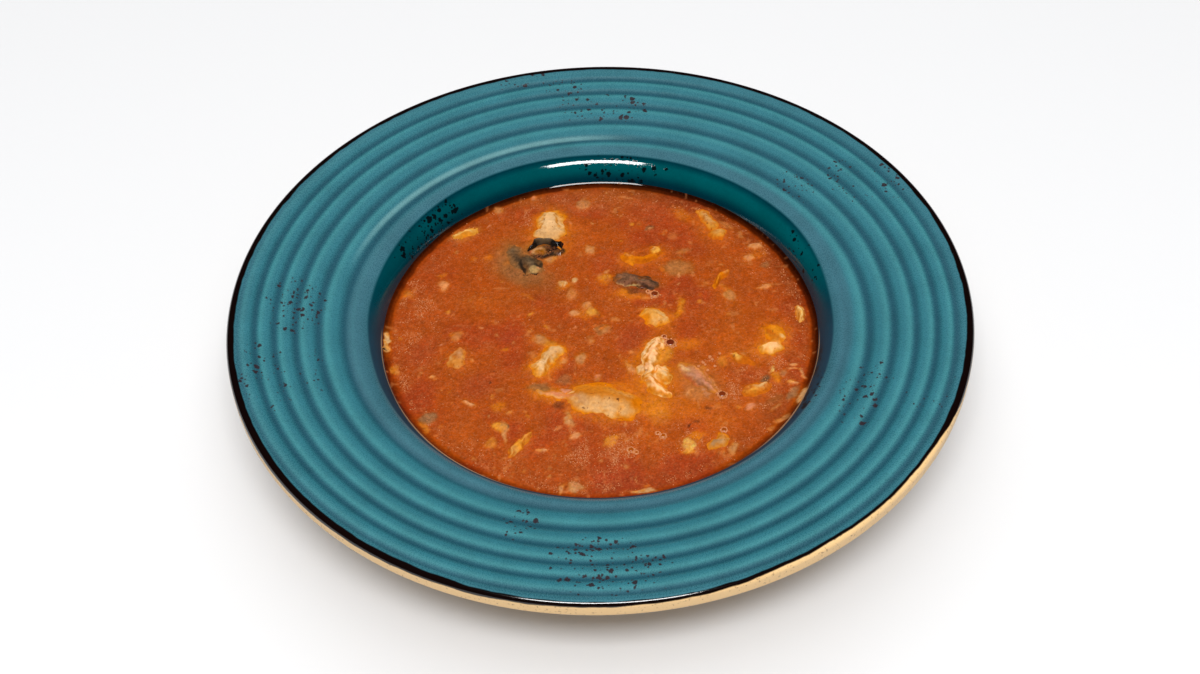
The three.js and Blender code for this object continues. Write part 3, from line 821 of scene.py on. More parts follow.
soupBits = [
    (-5, 69, 5.6, 4.8, 60, "beige", 0.7, 0.4, 0.5), (-39, 66.5, 3.6, 3.2, 0, "beige", 0.6, 0.5, 0.4),
    (-3, 42.8, 4.8, 4, 100, "beige", 0.8, 0.4, 0.5), (-59.5, 25, 5.4, 2.8, 95, "peach", 0.75, 0.4, 0.4),
    (-60, 31, 3, 2, 20, "orange", 0.8, 0.5, 0.2), (-73, 21, 4, 4, 0, "orange", 0.9, 0.4, 0.5),
    (-42.5, 39.5, 3.2, 2.6, 0, "orange", 0.8, 0.5, 0.2),
    (-48, 39.5, 2.2, 1.8, 0, "orange", 0.6, 0.5, 0.1),
    (-13.8, 24.6, 3.4, 2.4, 30, "cream", 0.95, 0.3, 0.6),
    (-9.7, 25.8, 2.4, 2, 80, "cream", 0.95, 0.3, 0.6),
    (-10.6, 18.4, 5.4, 3.6, 75, "peach", 0.5, 0.45, 0.3),
    (-4.4, 12.2, 4.2, 3.6, -60, "peach", 0.7, 0.4, 0.4), (-3, 9, 4, 3.2, -50, "gold", 0.9, 0.4, 0.6),
    (-9.5, 8.5, 4.6, 2.6, 15, "peach", 0.8, 0.4, 0.4),
    (-26.5, 17.5, 4.6, 1, -35, "orange", 0.8, 0.4, 0.2), (-45, 2.6, 1.5, 1.3, 0, "pink", 0.8, 0.4, 0.3),
    (-25, 73.5, 3.2, 1.5, 80, "pink", 0.5, 0.5, 0.1), (20.2, 54.6, 3.6, 2.8, 55, "slate", 0.55, 0.4, 0.2),
    (20.8, 54.2, 1.8, 1.1, 60, "peach", 0.6, 0.4, 0.4),
    (33.2, 40.4, 5.6, 2.2, 15, "beige", 0.45, 0.6, 0.4), (32, 37.6, 3, 1.6, -20, "olive", 0.6, 0.5, 0),
    (30.5, 31, 11.2, 8.2, -5, "olive", 0.75, 0.4, 0.1), (30.5, 31.2, 9, 6, -5, "beige", 0.35, 0.6, 0),
    (24.6, 30.6, 3.6, 1.6, -70, "orange", 0.8, 0.4, 0.3), (30.6, 27, 2, 0.8, 70, "peach", 0.8, 0.4, 0.3),
    (61.6, 41.8, 4.4, 3.2, 8, "peach", 0.9, 0.35, 0.7),
    (58.4, 35.4, 3.6, 3.4, 60, "peach", 0.75, 0.35, 0.6), (62, 37.6, 5, 4, -30, "orange", 0.5, 0.5, 0),
    (50.4, 54, 6.4, 2.6, -42, "peach", 0.4, 0.5, 0.1), (56, 48.4, 3.6, 2, -70, "beige", 0.5, 0.5, 0.1),
    (63, 19.6, 5.4, 1.8, 14, "peach", 0.7, 0.4, 0.4), (49.4, 15.4, 5.6, 4.4, -45, "tan", 0.55, 0.35, 0.5),
    (47.4, 19.4, 4, 2, 110, "orange", 0.7, 0.4, 0.2), (30.6, 11.4, 6, 2.4, 84, "amber", 0.9, 0.35, 0.6),
    (29.6, 7.6, 5.6, 2.2, 56, "amber", 0.95, 0.35, 0.6), (27, 5.2, 2.6, 1.6, 30, "orange", 0.8, 0.4, 0.3),
    (5.6, 4.6, 3.2, 2.2, 20, "peach", 0.45, 0.5, 0.2), (2.6, 27.2, 4.4, 3.2, 30, "gold", 0.5, 0.45, 0.3),
    (2.8, 30.6, 2.2, 1.8, 60, "peach", 0.6, 0.4, 0.3), (64.4, 31.4, 3.4, 3, 0, "grey", 0.5, 0.6, 0),
    (29.6, 49, 4, 3, 80, "peach", 0.3, 0.6, 0.1), (11.6, 72, 5.4, 1, -15, "peach", 0.4, 0.5, 0.1),
    (0.8, -0.4, 5.8, 4.6, 30, "olive", 0.8, 0.4, 0.5), (1.4, 0.6, 2.6, 1.8, 40, "orange", 0.8, 0.5, 0.2),
    (-3.6, -4, 3, 2, 40, "olive", 0.5, 0.6, 0), (-79.4, -4, 9.4, 2.6, 92, "cream", 1.0, 0.3, 0.4),
    (-79.4, -7.6, 1, 0.8, 0, "black", 0.8, 0.3, 0.2), (-75.4, -17.4, 4.6, 4, 100, "gold", 0.45, 0.4, 0.4),
    (-61.5, -22, 3, 1.6, 10, "peach", 0.85, 0.35, 0.4), (-53.2, -2, 5.4, 3, 62, "beige", 0.55, 0.45, 0.4),
    (-59.5, -5.5, 1.4, 1.2, 0, "pink", 0.7, 0.4, 0.3), (-22, -5, 5.2, 4, -20, "beige", 0.8, 0.4, 0.4),
    (-18.4, -7, 5, 3.6, -50, "gold", 0.45, 0.5, 0.2), (-7.4, -15, 5, 3.6, 65, "beige", 0.85, 0.35, 0.5),
    (-13.6, -24.6, 5.4, 4, 30, "grey", 0.45, 0.6, 0),
    (-22.6, -28.4, 8.4, 4.4, -8, "grey", 0.6, 0.45, 0.2),
    (-15.6, -37, 3.8, 3.4, 0, "umber", 0.55, 0.7, 0), (-12, -43.4, 6.4, 2.8, -78, "tan", 0.7, 0.5, 0.4),
    (-62, -41.4, 6.2, 4.4, 10, "grey", 0.75, 0.4, 0.3),
    (-63.2, -45.6, 5.4, 2.4, -60, "gold", 0.4, 0.5, 0.2),
    (-47.6, -34.6, 3.8, 1.7, -32, "peach", 0.95, 0.3, 0.6),
    (-36.6, -46, 5, 2.8, -42, "gold", 0.85, 0.4, 0.6),
    (-34.6, -48.6, 9.4, 1.7, -83, "tan", 0.6, 0.4, 0.5),
    (-34, -46.4, 2.6, 1, -80, "slate", 0.6, 0.5, 0.1), (-37, -37, 5, 4, 20, "amber", 0.6, 0.7, 0),
    (-33.2, -39.4, 2, 1.5, 30, "peach", 0.7, 0.4, 0.4), (-39.4, -54, 4.6, 4, 10, "gold", 0.45, 0.45, 0.4),
    (-22.2, -57.2, 3.8, 1.2, 2, "peach", 0.9, 0.3, 0.5), (-10, -51.4, 4.6, 3, 22, "peach", 0.8, 0.4, 0.5),
    (-15.6, -47.6, 3, 2, 30, "peach", 0.4, 0.6, 0.1), (-40, -25.6, 1.5, 1.2, 0, "umber", 0.8, 0.4, 0),
    (-35.6, -9.4, 2, 1.5, 0, "amber", 0.7, 0.5, 0.1), (-10, -74, 5, 4, 0, "tan", 0.7, 0.35, 0.5),
    (-15, -75, 3.4, 1.5, 75, "peach", 0.8, 0.4, 0.3), (-1.6, -23, 3.2, 2.2, 20, "pink", 0.6, 0.5, 0.2),
    (-13, -30.4, 5, 1.6, -8, "pink", 0.8, 0.4, 0.5), (10.8, -20, 7, 2.2, -62, "peach", 0.75, 0.4, 0.4),
    (44, -18, 5.4, 3, 80, "gold", 0.4, 0.6, 0.2), (2.6, -54.4, 5.6, 3.6, 40, "gold", 0.65, 0.4, 0.6),
    (30, -57, 5.4, 4.6, 80, "yellow", 1.0, 0.25, 0.9), (33, -52.8, 4.4, 3, 30, "amber", 0.8, 0.5, 0.2),
    (29.6, -60, 4.6, 1.6, 0, "gold", 0.8, 0.4, 0), (45, -59.4, 4.6, 3.2, 60, "tan", 0.6, 0.4, 0.5),
    (13, -76.8, 8.6, 2, 0, "tan", 0.9, 0.35, 0.4), (59, -50.6, 3.2, 2, 30, "peach", 0.5, 0.4, 0.3),
    (63.6, -46.2, 6, 2, 36, "beige", 0.6, 0.4, 0.3), (61.8, -22.4, 3.6, 1.1, 66, "lemon", 0.9, 0.3, 0.7),
    (69.8, -20.2, 3.6, 1.4, -12, "peach", 0.9, 0.3, 0.5),
    (63.2, -26.4, 5.4, 2.6, -70, "amber", 0.95, 0.35, 0.6),
    (66.4, -24.4, 3, 2.4, 40, "mauve", 0.6, 0.5, 0.3), (73, -25, 4.4, 0.8, -75, "peach", 0.8, 0.4, 0.3),
    (70, -22.6, 4.4, 0.8, -20, "peach", 0.8, 0.4, 0.3), (69.4, -29, 2.6, 1.2, 5, "peach", 1.0, 0.3, 0.5),
    (68.4, -34.4, 7, 3.8, 62, "grey", 0.7, 0.4, 0.5), (62, -37, 6, 4, 30, "olive", 0.5, 0.7, 0),
    (61.6, -41, 4.2, 1.2, 40, "beige", 0.5, 0.5, 0.2), (71.8, -36.4, 6.4, 3, 62, "tan", 1.0, 0.3, 0.5),
    (52.6, -40.4, 3, 2.6, 20, "pink", 0.7, 0.4, 0.3),
    (58.6, -28.4, 4.4, 3.4, 50, "slate", 0.75, 0.45, 0.4), (33, -33, 9, 6, -30, "beige", 0.45, 0.7, 0.1),
    (40.8, -29.6, 6, 0.9, -58, "peach", 0.6, 0.5, 0.3), (37, -33.4, 6, 0.9, -56, "mauve", 0.6, 0.5, 0.3),
    (38.6, -25.6, 7, 0.8, -56, "pink", 0.5, 0.5, 0.2), (37.8, -40.6, 2.6, 2, 0, "umber", 0.6, 0.6, 0),
    (40.6, -40, 3, 2.2, 0, "mauve", 0.35, 0.6, 0.1), (33, -46, 2, 1.4, 0, "umber", 0.6, 0.5, 0),
    # painted shadow: the umber line at (14, 19) here lies along the near edge of the skin strip
    (30, -48, 1.1, 1, 0, "umber", 0.8, 0.4, 0), (14, 19, 12, 2.2, -14, "umber", 0.5, 0.6, 0),
    (13, 17, 13, 3.4, -10, "amber", 0.55, 0.7, 0), (-20.6, 42, 12, 6, 0, "bark", 0.85, 0.6, 0.2),
    (-17, 41.9, 7, 4.8, -8, "black", 1.0, 0.35, 0.6), (-22.8, 41.2, 6.6, 4.8, 0, "black", 0.85, 0.4, 0.3),
    (-23.2, 41.9, 5.4, 4, 0, "tan", 0.85, 0.35, 0.1), (-22.3, 41.2, 4.4, 3, 0, "resin", 1.0, 0.35, 0),
    (-15.4, 40.6, 3, 2, 0, "olive", 0.6, 0.6, 0.4), (-21.2, 38.9, 9.6, 1.9, 5, "black", 0.85, 0.5, 0.1),
    (-18.4, 37.2, 4.6, 2, 24, "beige", 0.8, 0.4, 0.6),
    (-14.6, 40.2, 2.4, 1.6, 30, "black", 0.7, 0.5, 0.3),
    # painted shadow: the umber line at (12, 18.8) lies along the near edge of the skin strip
    (22.9, -14.6, 11, 4.4, 66, "marigold", 0.8, 0.8, 0.8), (12, 18.8, 6, 1.2, -4, "umber", 0.6, 0.6, 0),
    (9.4, 19, 3.4, 2.2, 10, "amber", 0.8, 0.5, 0.2),
]
# bits too small to list one by one
crumbs = {
    "count": 190,
    "seed": 41,
    "lengths": (0.8, 2.6),
    "reach": 76,
    "colours": ("peach", "peach", "orange", "gold", "beige", "pink", "tan", "red"),
}


def scatterCrumbs():
    random = seededRandom(crumbs["seed"])
    least, most = crumbs["lengths"]
    made = []
    for _ in range(crumbs["count"]):
        reach = crumbs["reach"] * math.sqrt(next(random))
        turn = 2 * math.pi * next(random)
        length = least + (most - least) * next(random) ** 2
        width = length * (0.4 + 0.5 * next(random))
        heading = 180 * next(random)
        colour = crumbs["colours"][int(next(random) * len(crumbs["colours"]))]
        strength = 0.2 + 0.45 * next(random)
        rise = 0.05 + 0.15 * next(random)
        place = (reach * math.cos(turn), reach * math.sin(turn))
        made.append((*place, length, width, heading, colour, strength, 0.7, rise))
    return made


allBits = soupBits + scatterCrumbs()


def unevenness(flat):
    shifts = [0.75 * noise(flat, 2.6, seed) + 0.4 * noise(flat, 1.1, seed + 1) for seed in (91, 95)]
    return np.column_stack(shifts)


def warped(points):
    # the place on a smooth outline that each point of the uneven outline comes from
    return points[:, :2] + unevenness(points[:, :2])


def inEllipse(flat, patch, softness, size=1.0):
    # 1 inside the patch, 0 outside
    x, y, length, width, heading = patch[:5]
    share = np.zeros(len(flat))
    near = np.flatnonzero(np.hypot(flat[:, 0] - x, flat[:, 1] - y) < max(length, width) * size)
    turn = math.radians(heading)
    away = flat[near, :2] - (x, y)
    along = (away[:, 0] * math.cos(turn) + away[:, 1] * math.sin(turn)) / (length / 2 * size)
    across = (away[:, 1] * math.cos(turn) - away[:, 0] * math.sin(turn)) / (width / 2 * size)
    share[near] = 1 - smoothStep(1 - 0.85 * softness, 1 + 0.7 * softness, np.sqrt(along**2 + across**2))
    return share


def blend(tint, share, colour):
    near = np.flatnonzero(share > 0.003)
    mix = share[near, None]
    tint[near] = tint[near] * (1 - mix) + np.asarray(colour, float) * mix


def paint(tint, flat, patches):
    for patch in patches:
        blend(tint, inEllipse(flat, patch, patch[7]) * patch[6], palette[patch[5]])


def paintBits(tint, flat):
    # each bit has a glow of oil round it, and paler and deeper spots of its own
    spots = noise(flat, 1.3, 61) + 0.5 * noise(flat, 0.7, 62)
    for bit in allBits:
        colour, strength, softness, rise = bit[5:]
        colour = np.array(palette[colour], float)
        warm = colour[0] > 200
        if warm:
            blend(tint, inEllipse(flat, bit, 0.9, 1.5) * 0.4 * strength, palette["amber"])
        inside = inEllipse(flat, bit, softness, 1.06) * min(1, strength * 1.12)
        blend(tint, inside, colour)
        spotted = inside * min(1, 0.25 + 2 * rise)
        deeper = palette["amber" if warm else "umber"]
        paler = colour * 0.6 + np.array(palette["white"]) * 0.4
        blend(tint, spotted * 0.5 * smoothStep(0.1, 0.9, -spots), deeper)
        blend(tint, spotted * 0.45 * smoothStep(0.1, 0.8, spots), paler)


def fullPart(part):
    # all of a part's sizes, with the plain ones filled in
    return (*part, *(0, lens["sink"])[len(part) - 6:])


def spineDistance(part, points):
    # millimetres outside a bent lens, less than 0 inside it, and the place across its spine
    x, y, length, width, heading, rise, bend, sink = fullPart(part)
    bend, middle = math.radians(bend or 0.01), math.radians(heading)
    radius = length / bend
    away = points[:, :2] - (x - radius * math.sin(middle), y + radius * math.cos(middle))
    side = np.sign(radius)
    turned = np.arctan2(side * away[:, 0], -side * away[:, 1])
    along = 0.5 + ((turned - middle + math.pi) % (2 * math.pi) - math.pi) / bend
    across = radius - side * np.hypot(away[:, 0], away[:, 1])
    fullness = np.clip(1 - np.abs(2 * along - 1) ** lens["bluntness"], 0, 1) ** 0.5
    beside = np.abs(across) - width / 2 * fullness
    beyond = (np.abs(along - 0.5) - 0.5) * length
    gap = np.where(beyond > 0, np.hypot(np.maximum(beside, 0), beyond), np.maximum(beside, beyond))
    return gap, across


def gapsToFood(uneven):
    # each part of each piece of food, and how far from its outline the points lie
    for piece in morsels.values():
        for part in piece["parts"]:
            yield piece, spineDistance(part, uneven)[0].clip(0)


# Where fine pale bubbles gathered: x, y, length, width, heading, strength, softness.
foamFields = [
    (0, -60, 34, 18, 10, 0.9, 0.8), (-14, -50, 9, 8, 0, 0.9, 0.8), (9, -46, 16, 6, 30, 0.9, 0.8),
    (64, -24, 26, 16, -70, 0.8, 0.8), (38, -18, 12, 10, 60, 1.0, 0.8), (46, -30, 10, 16, 0, 0.9, 0.8),
    (54, -24, 14, 6, -20, 0.9, 0.8), (-29, 61, 6, 14, 10, 0.8, 0.8), (54, 52, 10, 6, -50, 0.6, 0.8),
    (-6, -74, 40, 8, 0, 0.8, 0.8), (60, -38, 12, 8, 30, 0.9, 0.8), (25, -8, 7, 6, 0, 1.0, 0.5),
    (43, -34.3, 5, 5, 0, 1.0, 0.5), (-70, -28, 6, 24, 20, 0.8, 0.8), (60, 30, 6, 24, 20, 0.5, 0.8),
    (10, 66, 50, 14, 0, 0.35, 0.9), (28, -56, 30, 20, 0, 0.5, 0.9), (-70, 16, 18, 60, 8, 0.75, 0.6),
    (-40, -60, 40, 12, -35, 0.5, 0.8), (0, 0, 120, 120, 0, 0.16, 0.9),
]


def foamShare(flat):
    reach = np.hypot(flat[:, 0], flat[:, 1])
    share = smoothStep(66, 73, reach) * 0.4
    for field in foamFields:
        share = np.maximum(share, inEllipse(flat, field, field[6]) * field[5])
    clumps = smoothStep(-0.4, 0.7, noise(flat, 3.4, 21) + 0.6 * noise(flat, 1.5, 22))
    return np.clip(share * clumps, 0, 1) * (1 - smoothStep(77.5, 79, reach))


def shadeRing(tint, flat):
    # painted shade: the broth is darkened where it meets the wall, most of all at the back, for the shade
    # and dark reflection in its curl, and partly because it lies thin over the dark glaze there; towards the
    # left and right it is painted redder
    reach = np.hypot(flat[:, 0], flat[:, 1])
    beside = smoothStep(0.45, 0.95, np.abs(flat[:, 0]) / reach.clip(1))
    blend(tint, 0.2 * smoothStep(60, 76, reach) * beside, palette["red"])
    corner = smoothStep(0.6, 0.95, (flat[:, 0] + flat[:, 1]) / (1.414 * reach.clip(1)))
    turned = smoothStep(-75, 60, flat[:, 1] + 0.25 * flat[:, 0])
    place = reach + 0.3 * noise(flat, 4, 37)
    dim = 1 - (0.05 + 0.14 * corner) * smoothStep(69, 77, place)
    dim = dim * (1 - (0.12 + 0.4 * turned) * smoothStep(77.9, 79, place))
    dim = dim * (1 - (0.2 + 0.24 * turned) * smoothStep(79.2, 80.2, place))
    tint *= dim[:, None] ** (1, 1.25, 1.8)


def soupTint(points):
    flat = points[:, :2]
    uneven = warped(points)
    tint = np.tile(np.array(palette["broth"], float), (len(points), 1))
    broad = noise(flat, 17, 1) + 0.6 * noise(flat, 8, 2)
    blend(tint, 0.6 * smoothStep(0.0, 1.1, broad), palette["red"])
    blend(tint, 0.3 * smoothStep(0.2, 1.2, -broad), palette["orange"])
    paint(tint, uneven, washes)
    glowing = 0.62 + 0.38 * noise(flat, 4.5, 38)
    for piece, outside in gapsToFood(uneven):
        colour, most, width = piece["halo"]
        blend(tint, most * glowing * np.exp(-((outside / (0.7 * width)) ** 1.4)), palette[colour])
    shadeRing(tint, flat)
    paintBits(tint, uneven)
    pale = smoothStep(0.6, 0.85, noise(flat, 1.9, 31)) * smoothStep(-0.3, 0.4, noise(flat, 13, 32))
    blend(tint, 0.4 * pale, palette["peach"])
    blend(tint, 0.25 * smoothStep(0.78, 0.95, noise(flat, 1.4, 33)), palette["umber"])
    blend(tint, 0.06 * foamShare(flat), palette["foam"])
    for cell, seed, share in ((5, 34, 0.035), (1.5, 35, 0.045), (0.8, 36, 0.06)):
        tint *= 1 + share * noise(flat, cell, seed)[:, None]
    return np.clip(tint, 0, 255)


def meniscusRise(gap):
    # how far the surface climbs, `gap` millimetres in from the wall
    radius = soup["meniscus"]
    run = radius * math.sin(soup["curl"])
    return radius - np.sqrt(radius**2 - np.clip(run - gap, 0, run) ** 2)


def soupHeight(points, edge):
    flat = points[:, :2]
    uneven = warped(points)
    reach = np.hypot(flat[:, 0], flat[:, 1])
    height = 0.08 * noise(flat, 11, 51) + 0.06 * noise(flat, 3.4, 52) + 0.05 * noise(flat, 1.3, 53)
    calm = smoothStep(edge - 5.5, edge - 3, reach)
    height = height * (1 - calm)
    for bit in allBits:
        if bit[8] > 0:
            height += bit[8] * inEllipse(uneven, bit, 0.8) * (1 - 0.7 * calm)
    cling = np.zeros(len(points))
    for _, outside in gapsToFood(uneven):
        cling = np.maximum(cling, 0.6 * np.exp(-outside / 2.4))
    return soup["level"] - soup["dip"] + height + cling + meniscusRise(edge - reach)


def soupOutline():
    rise = float(meniscusRise(np.array(0.0))) - soup["dip"]
    return soup["radius"] + rise / math.tan(math.radians(plate["wallSlopes"][1])) + soup["reachIntoWall"]


def makeSoup():
    # the top is a square grid bent into a disc, so its faces stay even
    count = soup["grid"]
    edge = soupOutline()
    steps = np.linspace(-1, 1, count + 1)
    u, v = (values.ravel() for values in np.meshgrid(steps, steps))
    wide = np.abs(u) >= np.abs(v)
    reach = np.where(wide, u, v)
    ratio = np.where(wide, v, u) / np.where(np.abs(reach) < 1e-9, 1, reach)
    angle = np.where(wide, ratio * math.pi / 4, math.pi / 2 - ratio * math.pi / 4)
    share, power = soup["tighten"]
    reach = np.sign(reach) * (np.abs(reach) * (1 + share) - share * np.abs(reach) ** power)
    flat = np.column_stack([edge * reach * np.cos(angle), edge * reach * np.sin(angle)])
    points = np.column_stack([flat, soupHeight(flat, edge)])
    index = np.arange((count + 1) ** 2).reshape(count + 1, count + 1)
    quads = np.stack([index[:-1, :-1], index[:-1, 1:], index[1:, 1:], index[1:, :-1]], -1).reshape(-1, 4)
    faces = quads.tolist()
    loop = np.concatenate([index[0, :-1], index[:-1, -1], index[-1, :0:-1], index[:0:-1, 0]])
    turns = np.arctan2(points[loop, 1], points[loop, 0])
    shoulder = soup["level"] - 1
    below = [(wallRadius(-soup["fitGap"], shoulder), shoulder), *wellArc(-soup["fitGap"], 4)[::-1]]
    above = loop
    for radius, height in below:
        ring = len(points) + np.arange(len(loop))
        lower = [radius * np.cos(turns), radius * np.sin(turns), np.full(len(loop), height)]
        points = np.vstack([points, np.column_stack(lower)])
        ahead, aheadAbove = np.roll(ring, -1), np.roll(above, -1)
        faces += np.stack([above, ring, ahead, aheadAbove], -1).tolist()
        above = ring
    bottom = len(points)
    points = np.vstack([points, (0, 0, plate["floorHeight"] + soup["fitGap"])])
    faces += [(int(a), bottom, int(b)) for a, b in zip(above, np.roll(above, -1))]
    made = makeObject("tomato_broth", points, faces)
    setAttribute(made, "tint", linear(soupTint(points)))
    setAttribute(made, "foam", foamShare(points[:, :2]) * (points[:, 2] > soup["level"] - 0.9))
    setAttribute(made, "calm", smoothStep(edge - 4.5, edge - 2.6, np.hypot(points[:, 0], points[:, 1])))
    return made


brothLook = {
    "lace": 0.66,  # how pale the threads of pulp are
    "flecks": 0.32,
    "specks": 0.3,
    "roughness": (0.14, 0.22),
    "calmRoughness": 0.04,  # of the clear border beside the wall
    "relief": 0.12,
}


def threadsOf(place, size, width, offset):
    # thin winding lines, 1 along the line and 0 beside it
    away = calc("ABSOLUTE", minus(noiseOf(place, size, 1.0, offset), 0.5))
    return between(away, width, width * 0.2)


def brothMaterial():
    material, tree, shader = newMaterial("tomato_broth")
    place = addNode(tree, "ShaderNodeTexCoord").outputs["Object"]
    foamy, calm = attributeOf(tree, "foam"), attributeOf(tree, "calm")
    stirred = minus(1.0, calm)
    pulp = noiseOf(place, 1.8, 4)
    grain = noiseOf(place, 0.9, 3, 0.4)
    colour = shaded(
        attributeOf(tree, "tint", "Color"),
        between(pulp, 0.3, 0.7, (0.94, 1.04)),
        between(grain, 0.25, 0.75, (-0.24, 0.2)),
    )
    # pulp lies in a lace of fine pale threads, thickest where bubbles gathered
    threads = highest(threadsOf(place, 2.4, 0.05, 0.0), threadsOf(place, 1.4, 0.055, 4.0))
    patchy = between(noiseOf(place, 3.4, 3, 5.0), 0.36, 0.62)
    patchy = times(patchy, plus(0.42, times(foamy, 0.6)))
    lace = times(threads, highest(patchy, foamy), stirred)
    flecks = between(noiseOf(place, 0.6, 2, 11.0), 0.6, 0.72)
    specks = between(noiseOf(place, 0.8, 2, 8.0), 0.63, 0.7)
    relief = times(calc("MULTIPLY_ADD", grain, 0.5, plus(pulp, lace)), stirred)
    satin = between(pulp, 0.3, 0.7, brothLook["roughness"])
    setInputs(shader, {
        "Base Color": layered(
            colour,
            (times(lace, brothLook["lace"]), palette["foam"]),
            (times(flecks, brothLook["flecks"], stirred), palette["peach"]),
            (times(specks, brothLook["specks"]), palette["umber"]),
        ),
        "Roughness": fadeTo(calm, satin, brothLook["calmRoughness"]),
        "Normal": bumpOf(relief, brothLook["relief"], 0.5),
        "IOR": 1.42,
        "Specular IOR Level": 0.38,
    })
    return material


# Foam and bubbles

foam = {
    "Most Beads": 4.6e6,  # beads to the square metre where the foam is thickest
    "Seed": 7,
    "Least Size": 0.1 * mm,
    "Largest Size": 0.28 * mm,
}
dome = {
    "seed": 19,
    "height": 0.6,  # share of its radius
    "lift": 0.05,  # how far it stands off the broth
    "spread": 1.75,  # the dome's last slope, in radians, so it ends a little undercut
    "largeFrom": 0.5,  # a larger radius gets more faces and a pale border
    "film": (0.14, 0.0, 0.01, 0.02),  # as in foodFinishes
}
# x, y, radius and how dark the middle is painted, as painted reflection in the clear film
bubbles = [
    (25.7, -8.7, 1.75, 1.0), (23.6, -5.6, 0.8, 0.7), (43, -34.3, 1.5, 0.85), (35.4, -20.6, 0.24, 0),
    (37.2, -18.4, 0.3, 0), (37.9, -19.6, 0.2, 0), (39.8, -15.6, 0.28, 0), (40.6, -16.8, 0.18, 0),
    (38.6, -22.4, 0.24, 0), (41.4, -20.2, 0.2, 0), (43.6, -14.2, 0.24, 0), (21, 17, 1.5, 0.9),
    (18.6, 18.4, 0.6, 0.5), (42.5, -50.8, 1.0, 0.45), (21, -52.5, 0.9, 0.3), (9.5, -58.5, 1.1, 0.3),
    (11.4, -59.6, 0.6, 0.3), (19.2, -51.2, 0.6, 0.3),
]


def foamTree():
    # scatters round beads over the broth as densely as its foam attribute says
    tree, given = startTree("foamBeads", foam)
    density = times(calc("POWER", storedValue(tree, "foam"), 2.0), given["Most Beads"])
    inputs = {"Mesh": given["Geometry"], "Density": density, "Seed": given["Seed"]}
    spots = addNode(tree, "GeometryNodeDistributePointsOnFaces", inputs).outputs["Points"]
    inputs = {2: 0.0, 3: 1.0, "Seed": given["Seed"]}
    luck = addNode(tree, "FunctionNodeRandomValue", inputs, data_type="FLOAT").outputs[1]
    size = between(calc("POWER", luck, 2.5), 0.0, 1.0, (given["Least Size"], given["Largest Size"]))
    bead = addNode(tree, "GeometryNodeMeshIcoSphere", {"Radius": 1.0, "Subdivisions": 1}).outputs[0]
    bead = addNode(tree, "GeometryNodeSetShadeSmooth", {"Geometry": bead}).outputs[0]
    inputs = {"Points": spots, "Instance": bead, "Scale": size}
    placed = addNode(tree, "GeometryNodeInstanceOnPoints", inputs).outputs[0]
    return endTree(tree, placed, given["Material"])


def makeFoam(surface):
    source = addToScene("foam_source", surface.data.copy())
    return runTree(source, foamTree(), {**foam, "Material": foamMaterial()}, "foam_beads")


def foamMaterial():
    material, _, shader = newMaterial("foam")
    inputs = {"Base Color": (*linear(palette["bead"]), 1), "Roughness": 0.85, "Specular IOR Level": 0.25}
    setInputs(shader, inputs)
    return material


def makeBubbles():
    # low round domes in a ring of small ones; the clear film is painted dark in the middle as painted
    # reflection, and pale at the border, for the foam there and as painted reflection
    points, faces, tints = np.empty((0, 3)), [], []
    random = seededRandom(dome["seed"])
    flat, lift = dome["height"], dome["lift"]
    ringed = list(bubbles)
    for x, y, radius, dark in bubbles:
        count = int(15 * radius + 5)
        for number in range(count):
            turn = 2 * math.pi * (number + next(random)) / count
            away = radius * (1.02 + 0.5 * next(random) ** 2)
            place = (x + away * math.cos(turn), y + away * math.sin(turn))
            ringed.append((*place, 0.2 + 0.24 * next(random), 0))
    levels = soupHeight(np.array(ringed)[:, :2], soupOutline())
    for (x, y, radius, dark), level in zip(ringed, levels):
        start = len(points)
        large = radius > dome["largeFrom"]
        rows, columns = (9, 28) if large else (4, 10)
        slope = np.linspace(0.12, 1, rows) * dome["spread"]
        turn = 2 * np.pi * np.arange(columns) / columns
        reach, height = np.sin(slope) * radius, np.cos(slope) * radius * flat + lift
        ring = np.stack([x + np.outer(reach, np.cos(turn)), y + np.outer(reach, np.sin(turn))], -1)
        ring = np.dstack([ring, np.repeat(height[:, None] + level, columns, 1)]).reshape(-1, 3)
        ends = [(x, y, level + lift + radius * flat), (x, y, level - radius * 0.3)]
        points = np.vstack([points, ring, ends])
        closed = latheFaces(rows, columns, rows * columns, rows * columns + 1)
        faces += [tuple(start + corner for corner in face[::-1]) for face in closed]
        colours = ("orange", "peach") if large else ("bead", "bead")
        middle, border = (np.array(palette[colour], float) for colour in colours)
        middle = middle * (1 - dark) + np.array(palette["darkBubbleReflection"]) * dark
        share = smoothStep(0.68, 0.92, reach / radius)[:, None]
        tint = middle * (1 - share) + border * share
        tints.append(np.vstack([np.repeat(tint, columns, 0), middle, border]))
    made = makeObject("bubbles", points, faces)
    setAttribute(made, "tint", linear(np.vstack(tints)))
    setAttribute(made, "gloss", np.ones(len(points)))
    return made


# Pieces of food

